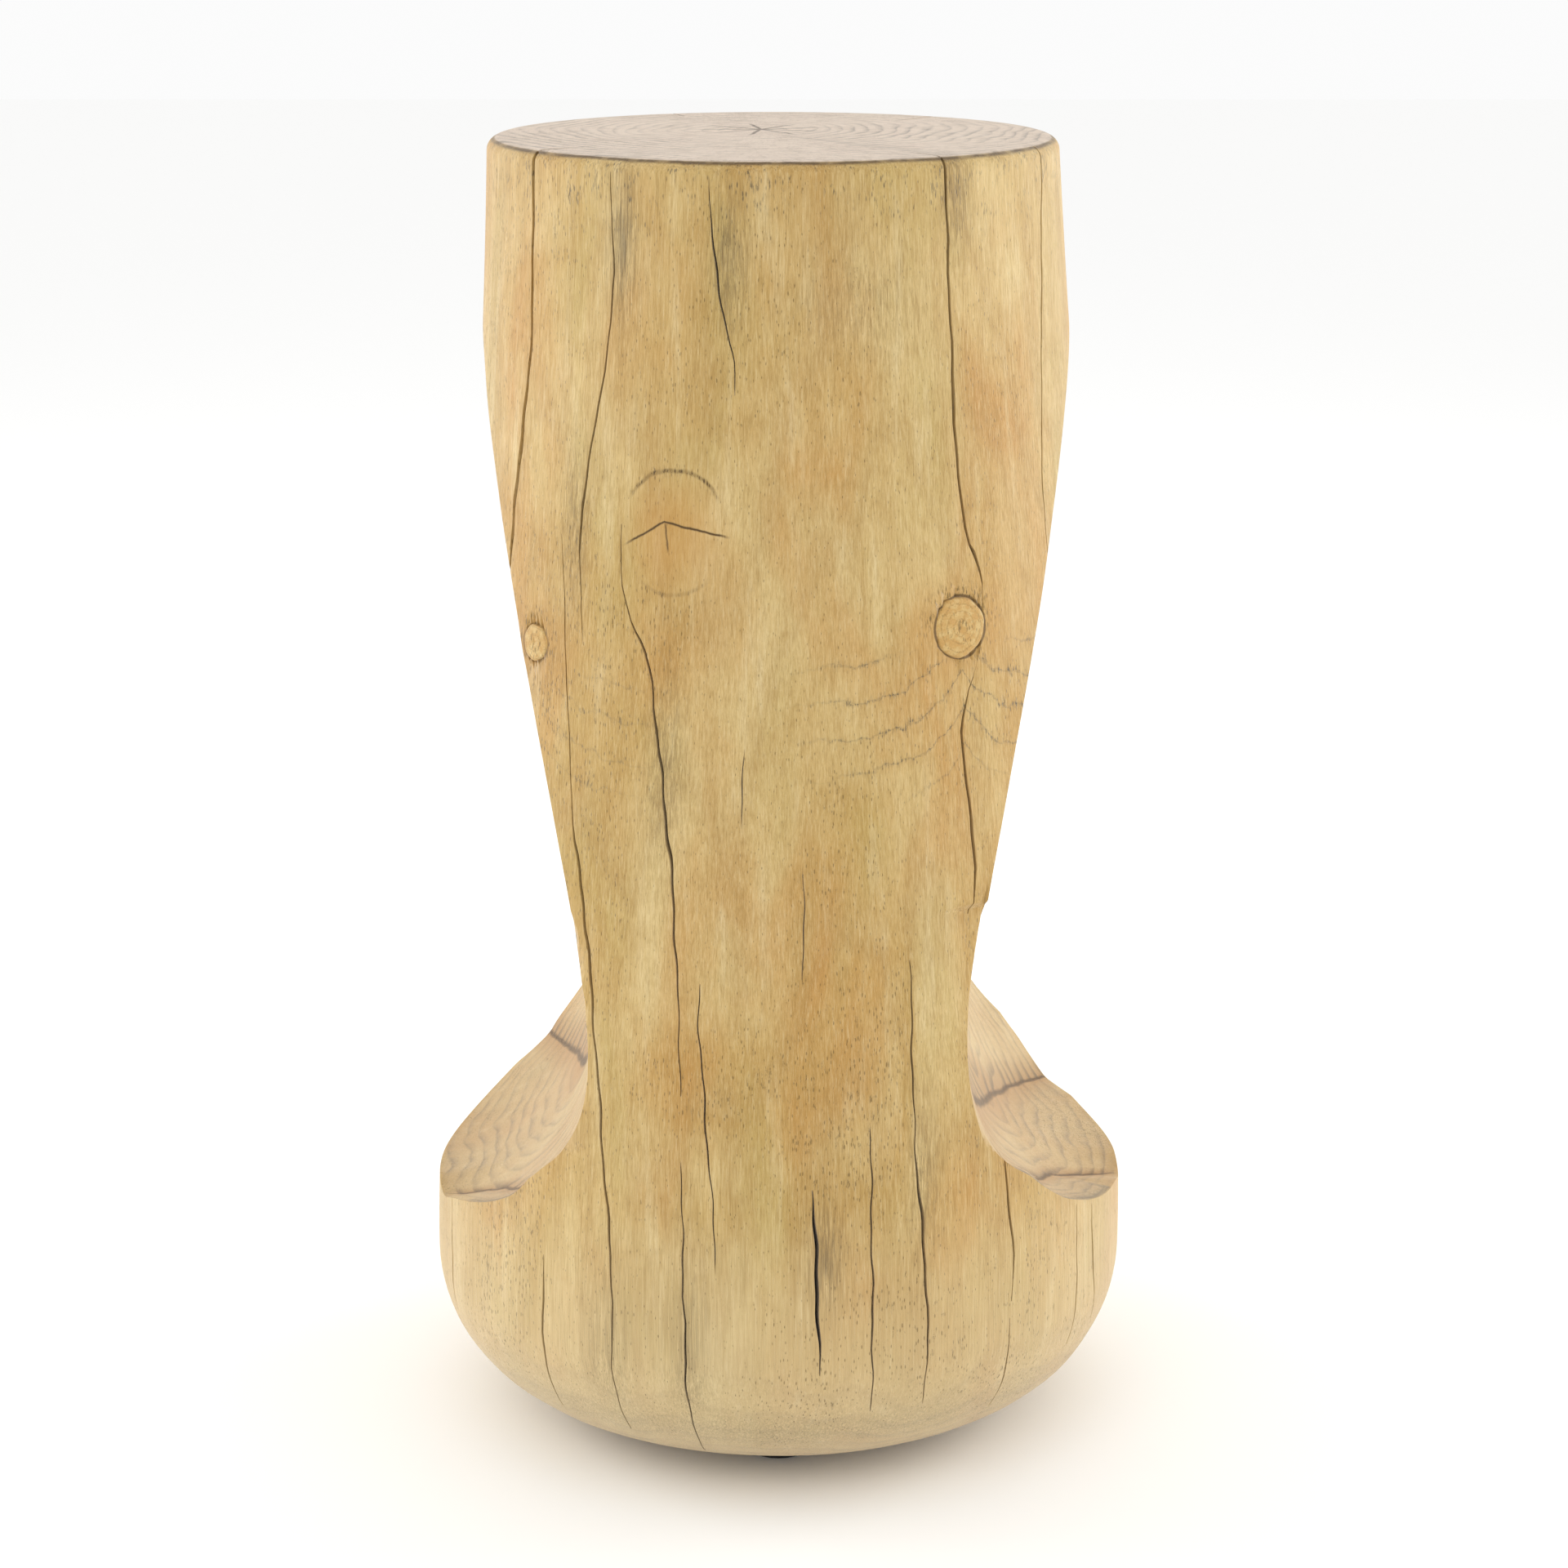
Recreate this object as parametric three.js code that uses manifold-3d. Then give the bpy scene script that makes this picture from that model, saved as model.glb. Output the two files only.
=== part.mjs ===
// Carved log pedestal: a tapering log with a rounded foot, scooped in on two
// sides to a narrow waist, standing on four screwed-on rubber feet.
//
// Millimetres, +Z up. The origin is on the floor under the pith of the log.
// The two scoops face -X and +X; the front of the log faces -Y.

import * as THREE from 'three';
import { mergeVertices } from 'three/addons/utils/BufferGeometryUtils.js';
import Module from 'manifold-3d';

const wasm = await Module();
wasm.setup();

// ---- Driving dimensions ----------------------------------------------------

// Log
const logHeight = 450.7; // from the underside of the wood to its top face
const topRadius = 97.6; // under the rounding of the top rim
const rimRounding = 4.5;
const neckSwell = 5.5; // how far the side leans out below the rim
const footRadius = 124.6; // widest place, above the rounded foot
const footRounding = 51;
const bellyRise = 95; // how far up the foot stays nearly upright
const neckDrop = 120; // how far below the rim that lean reaches

// Scoops
const waistHalfWidth = 64; // from the middle of the log to either waist wall
const waistHeight = 154; // narrowest place, above the underside of the wood
const ledgeHeight = 76.5; // lowest line of the scoop, above the underside
const scoopExitDrop = 46.7; // from the top face down to where the scoop runs out
const scoopExitMargin = 2.3; // how far the cut's end stands outside the uncut side
const flareLead = 10.5; // how much narrower the flare aims before its exit
const ledgeDish = 20; // how much the ledge climbs towards its two ends
const dishFade = 22; // the climb fades out over this width beside the waist

// Each ledge is made by three cuts. They meet in two shallow valleys, each given
// by three points in plan: [out from the middle, towards the back].
const rightCreases = [[[68, -70], [86, 34], [101.5, 68]], [[88, -66], [105, -19], [121, -7]]];
const leftCreases = [[[69, -17], [78, 48], [89, 84]], [[89, -78], [103.5, -40], [116, -31.5]]];
const creaseSlope = 0.25; // how much steeper the ledge is beside a valley
const creaseReach = 16; // width of the slope on each side of a valley
const creaseDepth = 3; // how far a valley lies below the plain curve

// Knots that have shrunk loose in their sockets
const knotGap = 0.35;
const ringKnot = { radius: 10.4, taper: 4.5, depth: 40, angle: -56.4, height: 298.7, rise: 12 };
const pinKnot = { radius: 6.4, taper: 2.6, depth: 26, angle: -137.6, height: 289.8, rise: 12 };

// Drying checks: angle round the log, lower and upper end above the underside,
// sideways drift over the length, width at the surface and depth to the pith.
// Some run out through the top face.
const throughTop = logHeight + 9.3;
const checks = [
  { angle: -147.3, bottom: 306, top: throughTop, drift: 5, width: 1.9, depth: 15 },
  { angle: -126.8, bottom: 302, top: 446, drift: 6, width: 1.4, depth: 11 },
  { angle: -53.8, bottom: 318, top: throughTop, drift: -2, width: 1.7, depth: 14 },
  { angle: -32.0, bottom: 318, top: throughTop, drift: 7, width: 1.2, depth: 10 },
  { angle: -53.9, bottom: 205, top: 279, drift: -3, width: 1.9, depth: 12 },
  { angle: -117.0, bottom: 24, top: 318, drift: -13, width: 2.2, depth: 16 },
  { angle: -105.2, bottom: 154, top: 330, drift: -14, width: 1.6, depth: 12 },
  { angle: -104.3, bottom: 16, top: 121, drift: -1, width: 1.4, depth: 9 },
  { angle: -66.0, bottom: 40, top: 136, drift: -2, width: 1.4, depth: 9 },
  { angle: -75.0, bottom: 40, top: 132, drift: -1, width: 1.4, depth: 10 },
  { angle: 48, bottom: 270, top: throughTop, drift: 4, width: 1.7, depth: 14 },
  { angle: 83, bottom: 30, top: 252, drift: -5, width: 2.1, depth: 15 },
  { angle: 119, bottom: 292, top: throughTop, drift: -6, width: 1.5, depth: 12 },
  { angle: 111, bottom: 36, top: 168, drift: 3, width: 1.6, depth: 10 },
];
const checkStations = 9;

// Feet
const footCount = 4;
const footInset = 11.6; // middle of a foot, in from the edge of the flat underside
const padWall = 6.2; // rubber round the pocket for the washer and the screw head
const padRoof = 1.8; // rubber between that pocket and the wood
const padChamfer = 1.2;
const washerRadius = 6.2;
const washerThickness = 0.8;
const screwHeadRadius = 3.9;
const screwHeadHeight = 2.1;
const screwShankRadius = 1.9;
const screwPoint = 4;
const screwGrip = 20; // length of screw in the wood
const slotWidth = 0.9;
const slotDepth = 0.9;
const headRecess = 0.7; // how far the screw head stays up inside its foot

// Clearances
const seatGap = 0.3; // between faces that bear on each other
const shankGap = 0.35; // round a screw in its hole
const pocketGap = 0.6; // round the washer in the pocket of its foot

// Facets round the log and round the small turned pieces
const logFacets = 72;
const smallFacets = 28;

// ---- Derived sizes ---------------------------------------------------------

const headTop = headRecess + screwHeadHeight;
const washerBottom = headTop + seatGap;
const washerTop = washerBottom + washerThickness;
const padPocketDepth = washerTop + seatGap;
const padHeight = padPocketDepth + padRoof;
const padBoreRadius = washerRadius + pocketGap;
const padRadius = padBoreRadius + padWall;
const footCircleRadius = footRadius - footRounding - footInset;
const underside = padHeight + seatGap;
const topFace = underside + logHeight;

// ---- Materials -------------------------------------------------------------

const wood = new THREE.MeshStandardMaterial({ color: 0xc39a62, roughness: 0.82, metalness: 0 });
const knotWood = new THREE.MeshStandardMaterial({ color: 0x8a6238, roughness: 0.78, metalness: 0 });
const rubber = new THREE.MeshStandardMaterial({ color: 0x1c1c1d, roughness: 0.85, metalness: 0 });
const steel = new THREE.MeshStandardMaterial({ color: 0xb4b6b8, roughness: 0.35, metalness: 1 });

// ---- Solids ----------------------------------------------------------------

/** Closed solid from a geometry whose seams and poles still have double points. */
function solidFrom(geometry) {
  const bare = geometry.clone();
  bare.deleteAttribute('normal');
  bare.deleteAttribute('uv');
  const merged = mergeVertices(bare, 1e-4);
  const index = merged.index.array;
  const triangles = [];
  for (let i = 0; i < index.length; i += 3) {
    const a = index[i];
    const b = index[i + 1];
    const c = index[i + 2];
    if (a !== b && b !== c && c !== a) {
      triangles.push(a, b, c);
    }
  }
  return new wasm.Manifold(new wasm.Mesh({
    numProp: 3,
    vertProperties: new Float32Array(merged.attributes.position.array),
    triVerts: new Uint32Array(triangles),
  }));
}

/** Geometry with flat facets from a closed solid. */
function geometryFrom(solid) {
  const mesh = solid.getMesh();
  const geometry = new THREE.BufferGeometry();
  geometry.setAttribute('position', new THREE.BufferAttribute(mesh.vertProperties, 3));
  geometry.setIndex(new THREE.BufferAttribute(mesh.triVerts, 1));
  geometry.computeVertexNormals();
  return geometry;
}

/** Solid turned about +Z from a profile of [radius, height] corners, lowest first. */
function turned(profile, facets) {
  const points = profile.map(([radius, height]) => new THREE.Vector2(radius, height));
  return solidFrom(new THREE.LatheGeometry(points, facets).rotateX(Math.PI / 2));
}

// ---- Log -------------------------------------------------------------------

const bellyHeight = underside + footRounding;
const rimStart = topFace - rimRounding;

/** Side line of the log, from the top of the foot's rounding to the rim. */
const sideLine = new THREE.CubicBezierCurve(
  new THREE.Vector2(footRadius, bellyHeight),
  new THREE.Vector2(footRadius, bellyHeight + bellyRise),
  new THREE.Vector2(topRadius + neckSwell, rimStart - neckDrop),
  new THREE.Vector2(topRadius, rimStart),
);
const sidePoints = sideLine.getPoints(64);

/** Radius of the uncut log at a height. */
function logRadius(height) {
  if (height < bellyHeight) {
    const drop = Math.min(bellyHeight - height, footRounding);
    return footRadius - footRounding + Math.sqrt(footRounding ** 2 - drop ** 2);
  }
  const after = sidePoints.findIndex((point) => point.y >= height);
  if (after < 1) {
    return after === 0 ? footRadius : topRadius;
  }
  const [low, high] = [sidePoints[after - 1], sidePoints[after]];
  return low.x + ((high.x - low.x) * (height - low.y)) / (high.y - low.y);
}

/** Log with its rounded foot and rim, before it is carved. */
function logBlank() {
  const profile = [[0, underside], [footRadius - footRounding, underside]];
  const footSteps = 8;
  for (let i = 1; i < footSteps; i += 1) {
    const turn = (i / footSteps) * (Math.PI / 2);
    profile.push([
      footRadius - footRounding + footRounding * Math.sin(turn),
      underside + footRounding * (1 - Math.cos(turn)),
    ]);
  }
  for (const point of sideLine.getPoints(12)) {
    profile.push([point.x, point.y]);
  }
  const rimSteps = 3;
  for (let i = 1; i <= rimSteps; i += 1) {
    const turn = (i / rimSteps) * (Math.PI / 2);
    profile.push([
      topRadius - rimRounding * (1 - Math.cos(turn)),
      rimStart + rimRounding * Math.sin(turn),
    ]);
  }
  profile.push([0, topFace]);
  return turned(profile, logFacets);
}

/** Distance in plan from a point to a bent line. */
function distanceTo(line, out, back) {
  let nearest = Infinity;
  for (let i = 1; i < line.length; i += 1) {
    const [x0, y0] = line[i - 1];
    const [dx, dy] = [line[i][0] - x0, line[i][1] - y0];
    const along = ((out - x0) * dx + (back - y0) * dy) / (dx ** 2 + dy ** 2);
    const share = Math.min(1, Math.max(0, along));
    nearest = Math.min(nearest, Math.hypot(out - x0 - share * dx, back - y0 - share * dy));
  }
  return nearest;
}

/** Height that the three cuts add to a ledge at a point in plan. */
function cutLift(creases, out, back) {
  return creases.reduce(
    (lift, line) => lift + creaseSlope * Math.min(distanceTo(line, out, back), creaseReach) - creaseDepth,
    0,
  );
}

/** Space taken out by the scoop on the +X side, or on the -X side where side is -1. */
function scoop(side, creases) {
  const waistLevel = underside + waistHeight;
  const ledgeLevel = underside + ledgeHeight;
  const run = footRadius - waistHalfWidth;
  const outside = footRadius + 20;
  const outline = new THREE.Shape();
  outline.moveTo(outside, ledgeLevel);
  const ledgeSteps = 14;
  for (let i = 0; i <= ledgeSteps; i += 1) {
    const turn = (i / ledgeSteps) * (Math.PI / 2);
    outline.lineTo(
      footRadius - run * Math.sin(turn),
      waistLevel - (waistLevel - ledgeLevel) * Math.cos(turn),
    );
  }
  const exitLevel = topFace - scoopExitDrop;
  const exitHalfWidth = logRadius(exitLevel) + scoopExitMargin;
  const climb = exitLevel - waistLevel;
  const flare = new THREE.CubicBezierCurve(
    new THREE.Vector2(waistHalfWidth, waistLevel),
    new THREE.Vector2(waistHalfWidth, waistLevel + 0.18 * climb),
    new THREE.Vector2(exitHalfWidth - flareLead, waistLevel + 0.56 * climb),
    new THREE.Vector2(exitHalfWidth, exitLevel),
  );
  for (const point of flare.getPoints(12).slice(1)) {
    outline.lineTo(point.x, point.y);
  }
  outline.lineTo(outside, exitLevel);
  outline.closePath();

  const reach = footRadius + 10;
  const cutter = new THREE.ExtrudeGeometry(outline, { depth: 2 * reach, steps: 18, bevelEnabled: false });
  cutter.rotateX(Math.PI / 2).translate(0, reach, 0);
  const place = cutter.attributes.position;
  for (let i = 0; i < place.count; i += 1) {
    if (place.getZ(i) < waistLevel) {
      const fade = Math.min(1, Math.max(0, (place.getX(i) - waistHalfWidth) / dishFade));
      const dish = ledgeDish * (place.getY(i) / footRadius) ** 2;
      const cuts = cutLift(creases, place.getX(i), side * place.getY(i));
      place.setZ(i, place.getZ(i) + fade * (dish + cuts));
    }
  }
  return side > 0 ? cutter : cutter.rotateZ(Math.PI);
}

/** Thin wedge that opens one drying check, narrow and shallow at its closed ends. */
function checkWedge({ angle, bottom, top, drift, width, depth }) {
  const places = [];
  const clear = 3;
  for (let i = 0; i < checkStations; i += 1) {
    const share = i / (checkStations - 1);
    const height = underside + bottom + (top - bottom) * share;
    const open = top > logHeight ? Math.sin((share * Math.PI) / 2) : Math.sin(share * Math.PI);
    const middle = THREE.MathUtils.degToRad(angle + drift * share + 0.5 * Math.sin(9 * share));
    const surface = logRadius(height);
    const half = Math.max(0.1, (0.5 * width * Math.sqrt(open) * (surface + clear)) / surface);
    const spread = half / (surface + clear);
    const inner = surface + 1 - (depth + 1) * Math.sqrt(Math.max(0, open));
    places.push(
      [(surface + clear) * Math.cos(middle - spread), (surface + clear) * Math.sin(middle - spread), height],
      [(surface + clear) * Math.cos(middle + spread), (surface + clear) * Math.sin(middle + spread), height],
      [inner * Math.cos(middle), inner * Math.sin(middle), height],
    );
  }
  const faces = [0, 2, 1];
  for (let i = 0; i < checkStations - 1; i += 1) {
    for (let side = 0; side < 3; side += 1) {
      const a = 3 * i + side;
      const b = 3 * i + ((side + 1) % 3);
      faces.push(a, b, b + 3, a, b + 3, a + 3);
    }
  }
  const last = 3 * (checkStations - 1);
  faces.push(last, last + 1, last + 2);
  const wedge = new THREE.BufferGeometry();
  wedge.setAttribute('position', new THREE.Float32BufferAttribute(places.flat(), 3));
  wedge.setIndex(faces);
  return solidFrom(wedge);
}

/** Tapered body of a knot, grown by a gap all round; it narrows towards the pith. */
function knotBody({ radius, taper, depth, angle, height, rise }, gap) {
  const proud = 12;
  const level = underside + height;
  const flare = ((radius - taper) / depth) * proud;
  const body = new THREE.CylinderGeometry(
    radius + flare + gap,
    taper + gap,
    depth + proud + gap,
    smallFacets,
  );
  body.translate(0, (proud - depth - gap) / 2, 0);
  body.rotateZ(-Math.PI / 2 + THREE.MathUtils.degToRad(rise));
  body.rotateX(Math.PI / 2);
  body.translate(logRadius(level), 0, 0);
  body.rotateZ(THREE.MathUtils.degToRad(angle));
  body.translate(0, 0, level);
  return solidFrom(body);
}

const footPlaces = [];
for (let i = 0; i < footCount; i += 1) {
  const turn = -Math.PI / 2 + (i * 2 * Math.PI) / footCount;
  footPlaces.push(new THREE.Vector3(
    footCircleRadius * Math.cos(turn),
    footCircleRadius * Math.sin(turn),
    0,
  ));
}

const pilotRadius = screwShankRadius + shankGap;
const pilotDepth = screwGrip + shankGap;

function pilotHole(place) {
  return solidFrom(new THREE.CylinderGeometry(pilotRadius, pilotRadius, pilotDepth + 1, smallFacets)
    .rotateX(Math.PI / 2)
    .translate(place.x, place.y, underside + (pilotDepth - 1) / 2));
}

const scoopRight = solidFrom(scoop(1, rightCreases));
const scoopLeft = solidFrom(scoop(-1, leftCreases));
const carved = logBlank().subtract(scoopRight).subtract(scoopLeft);

let log = carved;
for (const check of checks) {
  log = log.subtract(checkWedge(check));
}
for (const knot of [ringKnot, pinKnot]) {
  log = log.subtract(knotBody(knot, knotGap));
}
for (const place of footPlaces) {
  log = log.subtract(pilotHole(place));
}

// ---- Feet ------------------------------------------------------------------

/** Rubber foot: a ring with a pocket underneath for the washer and screw head. */
function padSolid() {
  return turned([
    [padBoreRadius, 0],
    [padRadius - padChamfer, 0],
    [padRadius, padChamfer],
    [padRadius, padHeight],
    [pilotRadius, padHeight],
    [pilotRadius, padPocketDepth],
    [padBoreRadius, padPocketDepth],
    [padBoreRadius, 0],
  ], smallFacets);
}

/** Flat washer in the pocket of the foot. */
function washerSolid() {
  return turned([
    [pilotRadius, washerBottom],
    [washerRadius, washerBottom],
    [washerRadius, washerTop],
    [pilotRadius, washerTop],
    [pilotRadius, washerBottom],
  ], smallFacets);
}

/** Pan-head wood screw with a slot, point up. */
function screwSolid() {
  const tip = underside + screwGrip;
  const screw = turned([
    [0, headRecess],
    [0.7 * screwHeadRadius, headRecess],
    [screwHeadRadius, headRecess + 0.45 * screwHeadHeight],
    [screwHeadRadius, headTop],
    [screwShankRadius, headTop],
    [screwShankRadius, tip - screwPoint],
    [0, tip],
  ], smallFacets);
  const slot = new THREE.BoxGeometry(3 * screwHeadRadius, slotWidth, 2 * slotDepth);
  slot.translate(0, 0, headRecess);
  return screw.subtract(solidFrom(slot));
}

// ---- Assembly --------------------------------------------------------------

const pedestal = new THREE.Group();

function addPiece(name, solid, material, parent = pedestal) {
  const mesh = new THREE.Mesh(geometryFrom(solid), material);
  mesh.name = name;
  parent.add(mesh);
}

addPiece('carved_log', log, wood);
addPiece('ring_knot', carved.intersect(knotBody(ringKnot, 0)), knotWood);
addPiece('pin_knot', carved.intersect(knotBody(pinKnot, 0)), knotWood);

const footNames = ['front', 'right', 'back', 'left'];
footPlaces.forEach((place, i) => {
  const foot = new THREE.Group();
  foot.position.copy(place);
  pedestal.add(foot);
  const label = footNames[i] ?? `extra_${i + 1}`;
  addPiece(`foot_pad_${label}`, padSolid(), rubber, foot);
  addPiece(`foot_washer_${label}`, washerSolid(), steel, foot);
  addPiece(`foot_screw_${label}`, screwSolid(), steel, foot);
});

export default pedestal;
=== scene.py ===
import functools
import math
import bpy
import numpy as np
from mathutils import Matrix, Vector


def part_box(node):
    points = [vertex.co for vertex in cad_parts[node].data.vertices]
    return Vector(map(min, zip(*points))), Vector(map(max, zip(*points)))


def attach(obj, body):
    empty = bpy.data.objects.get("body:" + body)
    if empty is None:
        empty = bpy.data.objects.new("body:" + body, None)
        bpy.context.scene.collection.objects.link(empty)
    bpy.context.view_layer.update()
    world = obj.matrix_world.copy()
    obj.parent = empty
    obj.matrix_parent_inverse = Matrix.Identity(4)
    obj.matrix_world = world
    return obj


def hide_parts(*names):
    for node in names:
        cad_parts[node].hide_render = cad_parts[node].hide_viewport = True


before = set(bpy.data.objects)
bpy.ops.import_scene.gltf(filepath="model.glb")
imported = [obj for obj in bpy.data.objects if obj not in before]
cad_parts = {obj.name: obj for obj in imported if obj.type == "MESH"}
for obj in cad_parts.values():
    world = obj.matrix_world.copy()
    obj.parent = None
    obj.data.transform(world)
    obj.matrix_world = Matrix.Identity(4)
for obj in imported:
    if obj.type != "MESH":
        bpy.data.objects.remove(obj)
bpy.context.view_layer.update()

# Carved log pedestal. Shapes are worked out in millimetres and put into their
# meshes in metres. The scoops face -X and +X and the front faces -Y.

MM = 0.001

# ---- Sizes -------------------------------------------------------------------

log_low, log_high = (np.array(corner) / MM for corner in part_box("carved_log"))
UNDERSIDE = log_low[2]
TOP = log_high[2]
FOOT_RADIUS = (log_high[0] - log_low[0]) / 2

TOP_RADIUS = 97.6          # under the rounding of the rim
NECK_SWELL = 5.5
RIM_ROUNDING = 4.5
FOOT_ROUNDING = 51
BELLY_RISE = 95
NECK_DROP = 120
WAIST_HALF = 64            # middle of the log to a waist wall
WAIST_Z = UNDERSIDE + 154
LEDGE_Z = UNDERSIDE + 76.5
EXIT_Z = UNDERSIDE + 404
EXIT_HALF = 102.3
FLARE_LEAD = 10.5
LEDGE_DISH = 20
DISH_FADE = 22
PITH_TOP = np.array([-6.0, 20.0])     # the pith wanders off the middle at the top
RING_SPACING = 5.2                    # growth rings, wide as in fast-grown wood

SEED = 7

# Drying checks run down lanes. A lane is a line of (height, angle) places from
# the floor up, and it keeps its place between its neighbours at every height.
# Each check is (lower end, upper end, width, depth), millimetres and degrees.
# An "edge" lane has no checks: it runs along a scoop's edge, in the quarter named.
LANES = [
    ([(0, -159), (457, -159)], [(46, 87, 1.0, 3.0)]),
    ([(0, -146), (311, -147.5), (356, -145.5), (400, -142.5), (457, -143.5)],
     [(300, 470, 1.6, 9.0)]),
    ([(0, -131), (83, -130.5), (125, -134), (210, -134), (300, -139), (457, -138)],
     [(26, 84, 0.8, 2.5)]),
    ("edge", -1, [(0, -126), (240, -130.5), (300, -135.5), (457, -134)]),
    ([(0, -117), (94, -117), (158, -120.5), (205, -123.5), (267, -129), (326, -132.5), (457, -131)],
     [(24, 330, 0.95, 8.0)]),
    ([(0, -112), (131, -113.5), (158, -116), (294, -126), (343, -128), (408, -121), (457, -122)],
     [(303, 449, 0.95, 6.0)]),
    ([(0, -104), (160, -105.5), (217, -107.5), (285, -111.5), (311, -113.5), (336, -119.5),
      (380, -117), (457, -112)], [(14, 128, 0.7, 4.0), (152, 338, 0.85, 6.0)]),
    ([(96, -99.5), (184, -103), (300, -99), (387, -97), (423, -101), (457, -102)],
     [(92, 190, 0.6, 3.0), (384, 449, 0.75, 3.5)]),
    ([(0, -93), (255, -96), (457, -93)], [(243, 268, 0.4, 0.9)]),
    ([(59, -83.5), (117, -84.5), (194, -86), (457, -84)],
     [(56, 119, 1.2, 7.0), (190, 230, 0.4, 0.8)]),
    ([(0, -75), (457, -76)], [(38, 140, 0.7, 4.0)]),
    ([(77, -66), (137, -68), (457, -68)], [(40, 143, 0.95, 6.0), (134, 196, 0.7, 3.0)]),
    ([(0, -57), (125, -58), (160, -60.5), (200, -58.5), (214, -54.5), (279, -57.5),
      (300, -51), (314, -50.5), (350, -55.5), (457, -55.5)],
     [(208, 288, 1.2, 7.0), (305, 470, 1.25, 8.0)]),
    ("edge", 1, [(0, -54.5), (240, -52.5), (274, -53), (309, -46), (457, -50)]),
    ([(31, -50), (62, -51), (71, -49), (124, -51.5), (210, -49), (300, -41), (457, -45)],
     [(28, 63, 0.5, 1.6), (70, 126, 0.9, 5.0)]),
    ([(43, -33.5), (67, -32.5), (345, -32), (398, -27.5), (457, -24.5)],
     [(41, 93, 0.7, 3.5), (322, 470, 1.0, 6.0)]),
    ([(48, -25), (88, -27), (240, -24), (457, -18)], [(46, 89, 0.9, 3.5)]),
    ([(0, 17), (457, 12)], [(34, 84, 1.1, 4.0)]),
    ([(0, 40), (270, 48), (457, 52)], [(268, 470, 1.7, 10.0)]),
    ("edge", 2, [(0, 55), (240, 54.5), (300, 58), (457, 60)]),
    ([(0, 66), (330, 71), (457, 70)], [(150, 330, 1.2, 6.0)]),
    ([(0, 84), (250, 78), (457, 80)], [(30, 252, 2.0, 11.0)]),
    ([(0, 94), (400, 97), (457, 96)], [(190, 402, 1.1, 5.0)]),
    ([(0, 110), (168, 114), (292, 113.5), (457, 113)],
     [(36, 170, 1.5, 8.0), (290, 470, 1.5, 9.0)]),
    ("edge", -2, [(0, 125.5), (240, 128), (457, 129)]),
    ([(0, 141), (457, 148)], [(30, 90, 1.2, 5.0)]),
    ([(0, 165), (457, 163)], []),
]

LANE_Z = 250.0             # height at which the lanes are put in order
MEAN_RADIUS = 110          # turns a width on the surface into an angle
SHOULDER = 0.3             # plain strip beside each lip of a check

# Rows follow a scoop's edge up to this angle from its middle. Past it the edge
# stands upright from corner to corner, and the rows spread out to even heights.
CORNER = 53.0
CORNER_LOW, CORNER_HIGH = 125.0, 210.0
SPREAD_LOW, SPREAD_HIGH = 92, 330
ROWS = {"side": 16, "ledge": 36, "flare": 104, "neck": 44}
FAR = 99.0                 # distance given where a mark isn't near

GRIME_AND_SHADE_FULL = 1.1           # depth in a check at which its painted shade and grime are full
CHIP_TOP = 212.0           # the chip off the right waist: upper end, angle, depth
CHIP_ANGLE = -55
CHIP_DEPTH = 2.4
LEAN = -1.7                # how far the top stands to the left of the foot
LEAN_START = 300           # height above which the log leans

# Fixings and their fits
SEAT_GAP = 0.3             # between a washer and the roof of its pocket
POCKET_GAP = 0.6           # round a washer
SCREW_BORE = 2.25
SHANK_RADIUS = 1.9
SCREW_TAPER = 4.0          # length of the point
THREAD_PITCH = 1.6
THREAD_DEPTH = 0.5
RECESS_DEPTH = 1.1

# Figure that hangs below a loose knot
DRAPE_SPACING = 12
DRAPE_DROP = 20

# Studio, in metres
FLOOR_HALF = 6.0
SKY_STRENGTH = 0.97
LAMP_AIM = (0, 0, 0.23)
CAMERA_PLACE = (0.002, -1.269, 0.568)
CAMERA_TILT = 15.02        # degrees down from level
LENS_MM = 84.4
SENSOR_MM = 36

# Knots: node, angle, height, radius at the surface
RING_KNOT = ("ring_knot", -56.4, UNDERSIDE + 298.7, 10.4)
PIN_KNOT = ("pin_knot", -137.6, UNDERSIDE + 289.8, 6.4)
KNOT_DEPTHS = {"ring_knot": (40, 4.5), "pin_knot": (26, 2.6)}

# Grey wash left beside checks and low on the foot: angle, height, how many
# degrees wide, how tall, strength
SMUDGES = [
    (-119.2, 430, 2.6, 22, 0.95), (-98.0, 425, 3.4, 18, 0.8), (-109.5, 262, 3.0, 30, 0.5),
    (-82.6, 96, 2.6, 16, 0.9), (-53, 445, 3.5, 16, 0.7), (-66.5, 120, 2.6, 26, 0.5),
    (-118, 60, 3.5, 30, 0.5), (-104, 60, 3, 34, 0.5), (-140, 292, 7, 12, 0.4),
    (-129, 340, 3, 26, 0.5), (-90, 30, 60, 8, 0.42), (-74, 412, 12, 16, 0.3),
    (88, 120, 5, 50, 0.5), (60, 300, 6, 40, 0.45), (112, 330, 4, 40, 0.5), (150, 400, 8, 26, 0.4),
]

# ---- Shape of the log ----------------------------------------------------------


def cubic_curve(count, *rows):
    """Values along a cubic curve, for each row of its four controls."""
    t = np.linspace(0, 1, count)
    weights = np.stack([(1 - t) ** 3, 3 * t * (1 - t) ** 2, 3 * t ** 2 * (1 - t), t ** 3]).T
    return [weights @ np.array(row) for row in rows]


def side_line():
    """Height and radius of the log's side: a cubic curve whose ends lean as given."""
    belly = UNDERSIDE + FOOT_ROUNDING
    rim = TOP - RIM_ROUNDING
    return cubic_curve(400, [belly, belly + BELLY_RISE, rim - NECK_DROP, rim],
                       [FOOT_RADIUS, FOOT_RADIUS, TOP_RADIUS + NECK_SWELL, TOP_RADIUS])


SIDE_Z, SIDE_R = side_line()


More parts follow.
